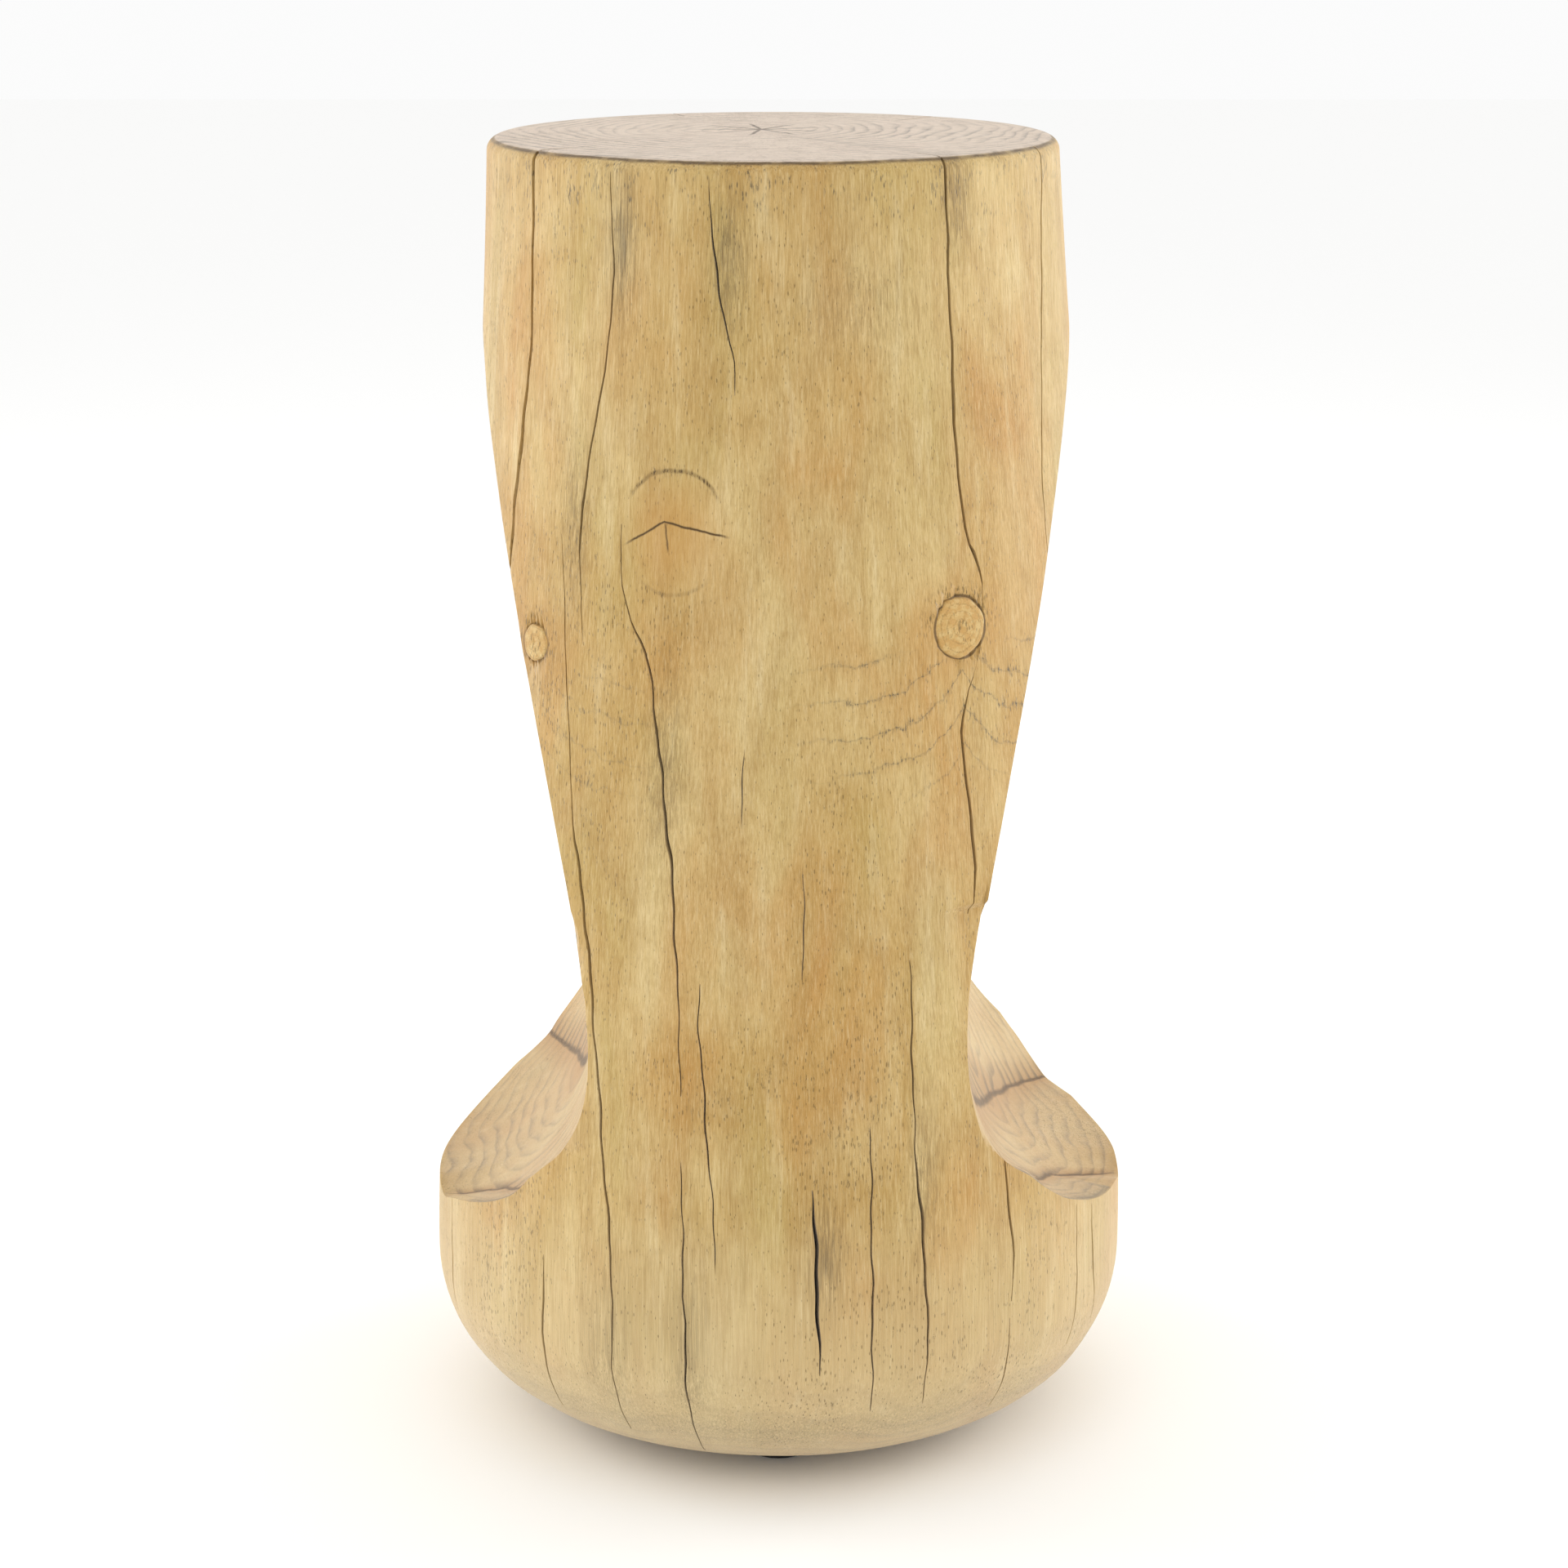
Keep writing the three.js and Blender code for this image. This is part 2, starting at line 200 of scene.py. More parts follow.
def blank_radius(z):
    """Radius of the uncarved log: a quarter round at the foot, then the side line."""
    drop = np.clip(UNDERSIDE + FOOT_ROUNDING - z, 0, FOOT_ROUNDING)
    foot = FOOT_RADIUS - FOOT_ROUNDING + np.sqrt(FOOT_ROUNDING ** 2 - drop ** 2)
    return np.where(drop > 0, foot, np.interp(z, SIDE_Z, SIDE_R))


# Where each scoop's three cuts meet, in plan: the side that it is on, and the
# corners of each meeting line as (out from the middle, towards the back).
CREASES = {
    -1: [[(69, -17), (75, 31), (80, 56.5), (84.5, 72), (89, 85)],
         [(88, -79), (96, -51), (103, -39), (110, -33), (116, -31)]],
    1: [[(67, -78), (78, 2), (86, 35.5), (94, 55), (101.5, 68)],
        [(88.5, -63), (98, -29), (106.5, -16), (114, -9), (121.5, -6)]],
}
CREASE_SLOPE = 0.25
CREASE_REACH = 16
CREASE_DEPTH = 3


def crease_distance(side, line, out, back):
    """Signed distance in plan from each point to a bent line: past its inner
    side it is negative."""
    corners = CREASES[side][line]
    nearest = np.full(np.broadcast(out, back).shape, 1e6)
    for (x0, y0), (x1, y1) in zip(corners, corners[1:]):
        dx, dy = x1 - x0, y1 - y0
        share = np.clip(((out - x0) * dx + (back - y0) * dy) / (dx ** 2 + dy ** 2), 0, 1)
        away_x, away_y = out - x0 - share * dx, back - y0 - share * dy
        signed = np.hypot(away_x, away_y) * np.sign(away_x * dy - away_y * dx)
        nearest = np.where(np.abs(signed) < np.abs(nearest), signed, nearest)
    return nearest


def ledge_height(out, back, side):
    """Height of a scoop's floor: a quarter ellipse rising inwards, lifted with
    the square of the distance from its middle, and bent where the cuts meet."""
    run = FOOT_RADIUS - WAIST_HALF
    share = np.clip((FOOT_RADIUS - out) / run, -1, 1)
    height = WAIST_Z - (WAIST_Z - LEDGE_Z) * np.sqrt(1 - share ** 2)
    fade = np.clip((out - WAIST_HALF) / DISH_FADE, 0, 1)
    height = height + LEDGE_DISH * fade * (back / FOOT_RADIUS) ** 2
    for line in (0, 1):
        for sign in (-1, 1):
            away = np.minimum(np.abs(crease_distance(sign, line, out, back)), CREASE_REACH)
            height = height + (CREASE_SLOPE * away - CREASE_DEPTH) * fade * (side == sign)
    return np.where(out <= WAIST_HALF, 1e6, height)


def flare_half(z):
    """Half width between the scoops above the waist: a cubic curve to the exit."""
    climb = EXIT_Z - WAIST_Z
    half, rise = cubic_curve(200, [WAIST_HALF, WAIST_HALF, EXIT_HALF - FLARE_LEAD, EXIT_HALF],
                             [0, 0.18 * climb, 0.56 * climb, climb])
    return np.interp(z - WAIST_Z, rise, half)


def halved(low, high, is_low, steps):
    """Two ends drawn together by halving onto the place where a test changes."""
    for _ in range(steps):
        middle = (low + high) / 2
        below = is_low(middle)
        low = np.where(below, middle, low)
        high = np.where(below, high, middle)
    return low, high


def carved_radius(turn, z):
    """Radius of the carved log: the blank, or where a level ray meets a scoop."""
    side = np.where(np.cos(turn) < 0, -1, 1)
    blank = blank_radius(z)
    cosine = np.maximum(np.abs(np.cos(turn)), 1e-6)
    sine = np.sin(turn)
    cut = z > ledge_height(blank * cosine, blank * sine, side)
    _, met = halved(np.full(z.shape, 40.0), blank,
                    lambda radius: z <= ledge_height(radius * cosine, radius * sine, side), 34)
    ledge = np.where(cut, met, blank)
    flare = np.minimum(blank, flare_half(z) / cosine)
    return np.where(z < WAIST_Z, np.minimum(ledge, blank), flare)


def worn_wave(turn, z):
    """Unevenness that the carver's tools and wear leave, within about 0.7 mm."""
    return 0.5 * smooth_noise(turn, z, SEED, 60) + 0.15 * smooth_noise(3 * turn, z, SEED + 1, 17)


def chip_depth(turn, z):
    """Wood shaved off the edge of the right waist, with an abrupt upper end."""
    around = (np.degrees(turn) - CHIP_ANGLE) / 6
    below = np.clip((CHIP_TOP - z) / 2.5, 0, 1) * np.clip((z - CHIP_TOP + 62) / 30, 0, 1)
    return CHIP_DEPTH * np.exp(-around ** 2) * below


def edge_heights(side):
    """Lower and upper edge of a scoop for each angle from its middle. Past the
    corners, where the edge stands upright, they spread to even out the rows."""
    away = np.linspace(0, 90, 361)
    turn = np.radians(np.where(side > 0, away, 180 - away))
    turns = np.stack([-turn, turn])
    cosine = np.abs(np.cos(turns))

    def under_ledge(z):
        radius = blank_radius(z)
        return ledge_height(radius * cosine, radius * np.sin(turns), np.full(turns.shape, side)) > z

    def in_flare(z):
        return blank_radius(z) * cosine > flare_half(z)

    waist = np.full(turns.shape, WAIST_Z)
    lower, _ = halved(np.full(turns.shape, 60.0), waist, under_ledge, 40)
    upper, _ = halved(waist, np.full(turns.shape, TOP - RIM_ROUNDING), in_flare, 40)
    return away, lower, upper


def waist_edge(z):
    """Angle from the scoop's middle at which its edge stands at a height."""
    half = np.where(z < WAIST_Z,
                    FOOT_RADIUS - (FOOT_RADIUS - WAIST_HALF)
                    * np.sqrt(np.clip(1 - ((WAIST_Z - z) / (WAIST_Z - LEDGE_Z)) ** 2, 0, 1)),
                    flare_half(z))
    return np.degrees(np.arccos(np.clip(half / blank_radius(z), -1, 1)))


def lane_angle(lane, z):
    """Angle of a lane at each height. The lane of a scoop's edge follows the
    edge between its corners and the given places elsewhere."""
    if lane[0] != "edge":
        places = np.array(lane[0], float)
        bends = [np.interp(z + shift, places[:, 0], places[:, 1]) for shift in (-12, -6, 0, 6, 12)]
        waver = 0.14 * np.sin(z / 6.1 + places[0, 1]) + 0.09 * np.sin(z / 2.7 + 2 * places[0, 1])
        return sum(bends) / len(bends) + waver
    quarter = lane[1]
    places = np.array(lane[2], float)
    away = waist_edge(np.clip(z, CORNER_LOW, CORNER_HIGH))
    angle = {1: -away, -1: -180 + away, 2: away, -2: 180 - away}[quarter]
    loose = np.interp(z, places[:, 0], places[:, 1])
    mix = np.clip(np.maximum(CORNER_LOW - z, z - CORNER_HIGH) / 12, 0, 1)
    return angle * (1 - mix) + loose * mix


def check_size(lane, z, which):
    """Width (2) or depth (3) of a lane's checks at each height: full in the
    middle and running out at closed ends."""
    size = np.zeros(z.shape)
    for check in lane[1] if lane[0] != "edge" else []:
        share = (z - check[0]) / (check[1] - check[0])
        opened = np.where((share > 0) & (share < 1), np.sin(np.clip(share, 0, 1) * math.pi), 0)
        if check[1] > TOP:
            start = np.where(share > 0, np.sin(share / 0.3 * math.pi / 2), 0)
            opened = np.where(share > 0.3, 1, start)
        uneven = 1 + 0.22 * np.sin(z / 9 + check[0]) * np.sin(z / 23 + 2 * check[1])
        size = np.maximum(size, check[which] * np.clip(opened, 0, 1) ** 0.6 * uneven)
    return size


# Columns: five to each lane (outside, lip, bottom, lip, outside), then plain
# ones spaced evenly up to the next lane. They are listed as lane, place, share.
COLUMN_STEP = 1.55
KNOT_STEP = 0.5


def column_list():
    """Lane, place in the lane (-2 to 2, or 3 between lanes) and share of the gap."""
    rows = []
    middles = [float(lane_angle(lane, np.array([LANE_Z]))[0]) for lane in LANES]
    for i, angle in enumerate(middles):
        following = middles[(i + 1) % len(middles)]
        gap = (following - angle) % 360
        dense = any(angle - 3 < knot[1] < following + 3 for knot in (RING_KNOT, PIN_KNOT))
        count = max(1, round(gap / (KNOT_STEP if dense else COLUMN_STEP)))
        rows += [(i, place, 0.0) for place in (-2, -1, 0, 1, 2)]
        rows += [(i, 3, (j + 1) / (count + 1)) for j in range(count)]
    return np.array(rows)


def smooth_noise(turn, z, seed, grain):
    """Sum of slow waves round and up the log, about -1 to 1."""
    count = 14
    rng = np.random.default_rng(seed)
    total = np.zeros(np.broadcast(turn, z).shape)
    for _ in range(count):
        around = rng.integers(1, 9)
        up = rng.uniform(0.4, 1.6) / grain
        round_wave = np.cos(around * turn + rng.uniform(0, 6.28))
        total += round_wave * np.sin(up * z + rng.uniform(0, 6.28))
    return total / math.sqrt(count)


def turned(radius, turn, height, centre=(0, 0)):
    """Places at a radius and an angle about an upright line, at a height."""
    radius, turn, height = np.broadcast_arrays(radius, turn, height)
    return np.stack([centre[0] + radius * np.cos(turn), centre[1] + radius * np.sin(turn),
                     height], axis=-1)


def log_surface():
    """Places of the log's surface on a grid of rows (up) and columns (round),
    and for each place how deep it lies in a check, how much wash it holds, how
    far it is from the ledge's valleys, whether it lies in a scoop, how much it
    is cut across the fibres, and how far it is from the line of the rim."""
    columns = column_list()
    lane_number = columns[:, 0].astype(int)
    place = columns[:, 1]
    share = columns[:, 2]

    away, lower_right, upper_right = edge_heights(1)
    _, lower_left, upper_left = edge_heights(-1)
    corner = away > CORNER

    def per_column(values):
        """Value of each column's own lane, from one array to each lane."""
        table = np.stack(values, axis=-1)
        return np.take_along_axis(table, lane_number[None, :, None], axis=-1)[..., 0]

    def check_depth(z):
        return per_column([check_size(lane, z, 3) for lane in LANES]) * (place == 0)

    def tied(table, corner_z, far_z):
        spread = np.clip((away - CORNER) / (90 - CORNER), 0, 1)
        return np.where(corner, corner_z + (far_z - corner_z) * spread ** 1.3, table)

    def edges(turn):
        side = np.cos(turn) > 0
        back = np.sin(turn) > 0
        angle = np.degrees(np.arccos(np.clip(np.abs(np.cos(turn)), 0, 1)))
        low = np.zeros(turn.shape)
        high = np.zeros(turn.shape)
        for right, lows, highs in ((True, lower_right, upper_right), (False, lower_left, upper_left)):
            for behind in (0, 1):
                here = (side == right) & (back == bool(behind))
                low_line = tied(lows[behind], CORNER_LOW, SPREAD_LOW)
                high_line = tied(highs[behind], CORNER_HIGH, SPREAD_HIGH)
                low = np.where(here, np.interp(angle, away, low_line), low)
                high = np.where(here, np.interp(angle, away, high_line), high)
        return low, high

    zone = np.concatenate([np.full(n, i) for i, n in enumerate(ROWS.values())])
    step = np.concatenate([np.arange(n) / n for n in ROWS.values()])
    belly = UNDERSIDE + FOOT_ROUNDING
    rim = TOP - RIM_ROUNDING

    def heights(turn):
        low, high = edges(turn)
        s = step[:, None]
        side = belly + (low - belly) * np.sin(s * math.pi / 2)
        ledge = WAIST_Z - (WAIST_Z - low) * np.cos(s * math.pi / 2)
        flare = WAIST_Z + (high - WAIST_Z) * s
        neck = high + (rim - high) * s
        return np.choose(zone[:, None], [side, ledge, flare, neck])

    # First heights from the lanes' middle angles, then each row's own angles.
    middles = np.array([lane_angle(lane, np.array([LANE_Z]))[0] for lane in LANES])
    following = np.roll(middles, -1) + np.where(np.arange(len(LANES)) == len(LANES) - 1, 360, 0)
    first = middles[lane_number] + share * (following - middles)[lane_number]
    z_first = heights(np.radians(np.broadcast_to(first, (len(step), len(first)))))

    def angles(z):
        """Angle of every column at the heights given, one row of columns each."""
        lanes = [lane_angle(lane, z) for lane in LANES]
        here = per_column(lanes)
        there = per_column([*lanes[1:], lanes[0] + 360])
        width = per_column([check_size(lane, z, 2) for lane in LANES])
        lip = np.degrees(np.maximum(width / 2, 0.2) / MEAN_RADIUS)
        shoulder = np.degrees(SHOULDER / MEAN_RADIUS)
        offset = np.choose(np.clip(place + 2, 0, 4).astype(int),
                           [-lip - shoulder, -lip, 0 * lip, lip, lip + shoulder])
        start = here + lip + shoulder
        between = start + share * (there - here - 2 * (lip + shoulder))
        return np.where(place == 3, between, here + offset)

    turn = np.radians(angles(z_first))
    z = heights(turn)
    radius = carved_radius(turn, z)

    depth = check_depth(z)
    blank = blank_radius(z)
    scooped = np.clip((blank - radius) / 2.0, 0, 1)

    # Rows of the foot, the rim and the top, at the angles of the nearest side row.
    round_steps = 24
    turn_foot = np.linspace(0, math.pi / 2, round_steps, endpoint=False)[:, None]
    foot_r = FOOT_RADIUS - FOOT_ROUNDING + FOOT_ROUNDING * np.sin(turn_foot)
    foot_z = UNDERSIDE + FOOT_ROUNDING * (1 - np.cos(turn_foot))
    flat_r = (np.linspace(0, 1, 9)[1:-1, None] * (FOOT_RADIUS - FOOT_ROUNDING))
    low_r = np.concatenate([flat_r, foot_r])
    low_z = np.concatenate([np.full(flat_r.shape, UNDERSIDE), foot_z])
    low_z_wide = np.broadcast_to(low_z, (len(low_z), len(place)))
    low_turn = np.radians(angles(low_z_wide))
    low_depth = check_depth(low_z_wide) * (low_z > UNDERSIDE + 0.5)

    rim_turn = np.linspace(0, math.pi / 2, 9)[:, None]
    rim_r = TOP_RADIUS - RIM_ROUNDING * (1 - np.cos(rim_turn))
    rim_z = rim + RIM_ROUNDING * np.sin(rim_turn)
    flat_edge = TOP_RADIUS - RIM_ROUNDING
    top_r = np.concatenate([flat_edge - np.array([0.6, 1.2, 2.0, 3.2]),
                            np.linspace(flat_edge - 5, 0, 24)[:-1]])[:, None]
    high_r = np.concatenate([rim_r, top_r])
    high_z = np.concatenate([rim_z, np.full(top_r.shape, TOP)])
    high_turn = np.broadcast_to(turn[-1], (len(high_z), len(place)))
    rim_depths = np.array([check_size(lane, np.array([TOP]), 3)[0] for lane in LANES])[lane_number]
    reach = np.clip((TOP_RADIUS - high_r) / (2.2 * np.maximum(rim_depths, 0.1)), 0, 1)
    high_depth = rim_depths * (place == 0) * (1 - reach) * (rim_depths > 0)

    # The groove of a check goes in towards the pith, and down through the top.
    side_r = radius + worn_wave(turn, z) * (1 - 0.5 * scooped) - depth - chip_depth(turn, z)
    sides = turned(side_r, turn, z)
    low_wave = worn_wave(low_turn, low_z_wide)
    low_full = low_r + low_wave * np.clip(low_z_wide - UNDERSIDE, 0, 10) / 10 - low_depth
    lows = turned(low_full, low_turn, low_z_wide + 0.3 * low_depth)
    high_wave = worn_wave(high_turn, high_z + 0 * high_turn)
    wall = np.clip((high_r - 85) / 14, 0, 1) * np.clip((TOP - high_z) / RIM_ROUNDING, 0.25, 1)
    inward = 0.6 * high_depth * np.clip((TOP - high_z) / RIM_ROUNDING, 0, 1)
    high_full = high_r + high_wave * wall - inward
    sunk = 0.22 * high_depth * np.clip((high_z - rim) / RIM_ROUNDING, 0, 1)
    highs = turned(high_full, high_turn, high_z - sunk)
    places = np.concatenate([lows, sides, highs])
    in_check = np.concatenate([low_depth, depth, high_depth])
    scooped = np.concatenate([0 * low_depth, scooped, 0 * high_depth])
    turns = np.concatenate([low_turn, turn, high_turn])
    zs = places[..., 2]
    body = slice(len(lows), -len(highs))

    wash = np.zeros(zs.shape)
    for angle, height, wide, tall, strength in SMUDGES:
        around = (np.degrees(turns) - angle + 180) % 360 - 180
        smudge = strength * np.exp(-(around / wide) ** 2 - ((zs - height) / tall) ** 2)
        wash = np.maximum(wash, smudge * (1 - scooped))
    across = np.concatenate([0 * low_depth, 0 * depth,
                             np.clip((flat_edge + 2.6 - high_r) / 0.8, 0, 1) + 0 * high_turn])
    slope = np.clip((WAIST_Z - z) / (WAIST_Z - LEDGE_Z), 0, 1) * scooped[body]
    across[body] = 0.85 * np.clip(1.5 * slope, 0, 1) ** 0.8
    foot_share = np.concatenate([np.ones(flat_r.shape), 1 - np.sin(turn_foot)])
    across[:len(lows)] = 0.85 * foot_share ** 0.6
    side = np.where(np.cos(turn) < 0, -1, 1)
    rim_gap = np.full(zs.shape, FAR)
    rim_gap[-len(highs):] = (high_r - flat_edge - 2.4) * 1.2
    # The valleys' distances run on past the scoops, so that they never jump
    # through nought, and the cut value keeps their marks inside the scoops.
    valleys = np.full((2, *zs.shape), FAR)
    cut = np.concatenate([0 * low_depth, np.clip((blank - radius) / 0.6, 0, 1), 0 * high_depth])
    on_ledge = (z < WAIST_Z + 25) & (scooped[body] > 0.02)
    for line in (0, 1):
        for sign in (-1, 1):
            away = crease_distance(sign, line, radius * np.abs(np.cos(turn)), radius * np.sin(turn))
            climb = np.clip(z - (WAIST_Z - 14), 0, 60) * 0.7
            away = away + np.where(away < 0, -climb, climb)
            valleys[line, body] = np.where(side == sign, away, valleys[line, body])
    # Wash gathers just inside the scoop's edge, in front of the outer valley.
    outermost = on_ledge & (valleys[1, body] > 0) & (np.sin(turn) < 0)
    edge_wash = np.exp(-((blank - radius - 1.6) / 2.2) ** 2) * outermost
    wash[body] = np.maximum(wash[body], edge_wash)
    return places, in_check, wash, valleys, cut, across, rim_gap


def knot_frame(knot):
    """Middle, sideways, up and outward directions of a knot's face."""
    _, angle, height, _ = knot
    turn = math.radians(angle)
    outward = np.array([math.cos(turn), math.sin(turn), 0])
    sideways = np.array([-math.sin(turn), math.cos(turn), 0])
    middle = outward * float(carved_radius(np.array([turn]), np.array([height]))[0])
    return middle + np.array([0, 0, height]), sideways, np.array([0, 0, 1.0]), outward


def sink_sockets(places):
    """Lowers the log inside each knot's rim, and swells it gently around."""
    for knot in (RING_KNOT, PIN_KNOT):
        middle, sideways, up, outward = knot_frame(knot)
        offset = places - middle
        across = offset @ sideways
        rise = offset @ up
        depth = offset @ outward
        reach = np.hypot(across, rise)
        radius = knot[3]
        near = np.abs(depth) < 25
        swell = 0.3 * np.exp(-((reach - radius) / (0.5 * radius)) ** 2)
        sink = 2.6 * np.clip((radius - 1.3 - reach) / 1.0, 0, 1)
        places = places + ((swell - sink) * near)[..., None] * outward
    return places


# ---- Meshes ----------------------------------------------------------------------


def make_mesh(name, vertices, faces, material, sharp):
    """Mesh object in metres from vertices in millimetres, smooth but for edges
    that turn more sharply than the angle given."""
    mesh = bpy.data.meshes.new(name)
    vertices = np.array(vertices, float)
    height = np.clip((vertices[:, 2] - LEAN_START) / 157, 0, 1)
    vertices[:, 0] += LEAN * height ** 1.2
    mesh.from_pydata((vertices * MM).tolist(), [], faces)
    mesh.polygons.foreach_set("use_smooth", np.ones(len(mesh.polygons), bool))
    mesh.set_sharp_from_angle(angle=math.radians(sharp))
    mesh.materials.append(material)
    piece = bpy.data.objects.new(name, mesh)
    bpy.context.scene.collection.objects.link(piece)
    return piece


def grid_faces(rows, columns):
    """Quads of a grid whose columns close on themselves; rows go upwards."""
    k, j = np.meshgrid(np.arange(rows - 1), np.arange(columns), indexing="ij")
    following = (j + 1) % columns
    quads = np.stack([k * columns + j, k * columns + following,
                      (k + 1) * columns + following, (k + 1) * columns + j], axis=-1)
    return quads.reshape(-1, 4).tolist()


def pole_faces(columns, row_start, pole, upper):
    """Triangles from one row of a grid to the point that closes it."""
    j = np.arange(columns)
    following = (j + 1) % columns
    pair = (row_start + j, row_start + following) if upper else (row_start + following, row_start + j)
    return np.stack([*pair, np.full(columns, pole)], axis=-1).tolist()


def closed_surface(name, places, low_pole, high_pole, material, sharp):
    """Closed mesh from a grid of rows, with a pole under it and a pole over it."""
    rows, columns = places.shape[:2]
    vertices = np.concatenate([places.reshape(-1, 3), [low_pole, high_pole]])
    faces = grid_faces(rows, columns)
    faces += pole_faces(columns, 0, rows * columns, upper=False)
    faces += pole_faces(columns, (rows - 1) * columns, rows * columns + 1, upper=True)
    return make_mesh(name, vertices, faces, material, sharp)


def add_values(piece, name, values):
    layer = piece.data.attributes.new(name, "FLOAT", "POINT")
    layer.data.foreach_set("value", np.ascontiguousarray(values, dtype=np.float32))


# ---- Materials -------------------------------------------------------------------


def colour(code):
    """Linear colour of an sRGB hex value."""
    parts = [int(code[i:i + 2], 16) / 255 for i in (1, 3, 5)]
    linear = [p / 12.92 if p <= 0.04045 else ((p + 0.055) / 1.055) ** 2.4 for p in parts]
    return (*linear, 1.0)


def node(tree, kind, *inputs, named=None, stops=None, out=0, **settings):
    """Adds a node, sets it, and links or sets its inputs in order and by name.
    Returns the output asked for, or the node itself where out is None."""
    made = tree.nodes.new("ShaderNode" + kind)
    for key, value in settings.items():
        setattr(made, key, value)
    for key, value in [*enumerate(inputs), *(named or {}).items()]:
        if isinstance(value, bpy.types.NodeSocket):
            tree.links.new(value, made.inputs[key])
        elif value is not None:
            made.inputs[key].default_value = value
    if stops:
        ramp = made.color_ramp
        ramp.elements[0].position, ramp.elements[0].color = stops[0][0], colour(stops[0][1])
        ramp.elements[1].position, ramp.elements[1].color = stops[-1][0], colour(stops[-1][1])
        for position, code in stops[1:-1]:
            ramp.elements.new(position).color = colour(code)
    return made if out is None else made.outputs[out]


def new_material(name):
    """Empty material, and the node function bound to it."""
    material = bpy.data.materials.new(name)
    material.use_nodes = True
    material.node_tree.nodes.clear()
    return material, functools.partial(node, material.node_tree)


def layered(add, tint, layers):
    """Lays shades over a tint in turn, each by its own amount. A shade is a name
    from the list of wood shades, or a colour worked out by other nodes."""
    for amount, shade in layers:
        over = colour(LOG_SHADES[shade]) if isinstance(shade, str) else shade
        tint = add("Mix", named={0: amount, 6: tint, 7: over}, data_type="RGBA", out=2)
    return tint


def round_knot(add, mm, angle, height):
    """Sideways and upward distance from a knot's middle, distance from it, and
    a mask that keeps to the knot's own side of the log."""
    turn = math.radians(angle)
    reach = float(blank_radius(np.array(height)))
    centre = (reach * math.cos(turn), reach * math.sin(turn), height)
    offset = add("VectorMath", mm, centre, operation="SUBTRACT")
    sideways, outward = (-math.sin(turn), math.cos(turn), 0), (math.cos(turn), math.sin(turn), 0)
    side = add("VectorMath", offset, sideways, operation="DOT_PRODUCT", out="Value")
    up = add("VectorMath", offset, (0, 0, 1), operation="DOT_PRODUCT", out="Value")
    facing = add("VectorMath", offset, outward, operation="DOT_PRODUCT", out="Value")
    near = add("MapRange", facing, -45.0, -30.0, 0.0, 1.0)
    away = add("VectorMath", add("CombineXYZ", side, up, 0.0), operation="LENGTH", out="Value")
    return side, up, away, near


def loose_knot_marks(add, mm, mark, wave, speck):
    """Round a loose knot: a dark ring at its edge, specks above it, and grey
    figure that hangs in tents below it, 12 mm apart."""
    angle, height, radius, strength = mark
    side, up, away, near = round_knot(add, mm, angle, height)
    wide = add("Math", side, operation="ABSOLUTE")
    fall = add("Math", add("Math", wide, -1 / 15, operation="MULTIPLY"), operation="EXPONENT")
    hang = add("Math", fall, DRAPE_DROP, -23.0, operation="MULTIPLY_ADD")
    tent = add("Math", up, -1.0, hang, operation="MULTIPLY_ADD")
    waved = add("Math", wave, 13.0, tent, operation="MULTIPLY_ADD")
    step = add("Math", waved, 1 / DRAPE_SPACING, 0.5, operation="MULTIPLY_ADD")
    step = add("Math", step, operation="FRACT")
    step = add("Math", add("Math", step, -0.5, operation="ADD"), operation="ABSOLUTE")
    line = add("MapRange", step, 0.0, 0.06, 1.0, 0.0)
    soft = add("Math", add("MapRange", step, 0.03, 0.2, 0.4, 0.0), speck, operation="MULTIPLY")
    line = add("Math", line, add("MapRange", speck, 0.0, 0.5, 0.3, 1.0), operation="MULTIPLY")
    line = add("Math", line, soft, operation="MAXIMUM")
    low = add("MapRange", up, -58.0, -38.0, 0.0, 1.0)
    high = add("MapRange", away, radius + 0.5, radius + 4.0, 0.0, 1.0)
    broad = add("MapRange", wide, 36.0, 60.0, strength, 0.0)
    below = add("MapRange", up, -10.0, -5.0, 1.0, 0.0)
    for limit in (low, high, broad, below, near):
        line = add("Math", line, limit, operation="MULTIPLY")
    halo = add("MapRange", away, radius, radius + 7.0, 1.0, 0.0)
    halo = add("Math", halo, add("MapRange", up, -6.0, 6.0, 0.25, 1.0), operation="MULTIPLY")
    halo = add("Math", add("Math", halo, speck, operation="MULTIPLY"), near, operation="MULTIPLY")
    waved_away = add("Math", wave, 1.5, away, operation="MULTIPLY_ADD")
    edge = add("Math", add("Math", waved_away, 0.15 - radius, operation="ADD"), operation="ABSOLUTE")
    edge = add("MapRange", edge, 0.25, 0.65, 0.85 * strength, 0.0)
    glow = add("MapRange", away, radius - 4.0, radius + 12.0, 0.4, 0.0)
    return [(add("Math", glow, near, operation="MULTIPLY"), "orange"), (line, "wash"), (halo, "pore"),
            (add("Math", edge, near, operation="MULTIPLY"), "groove")]


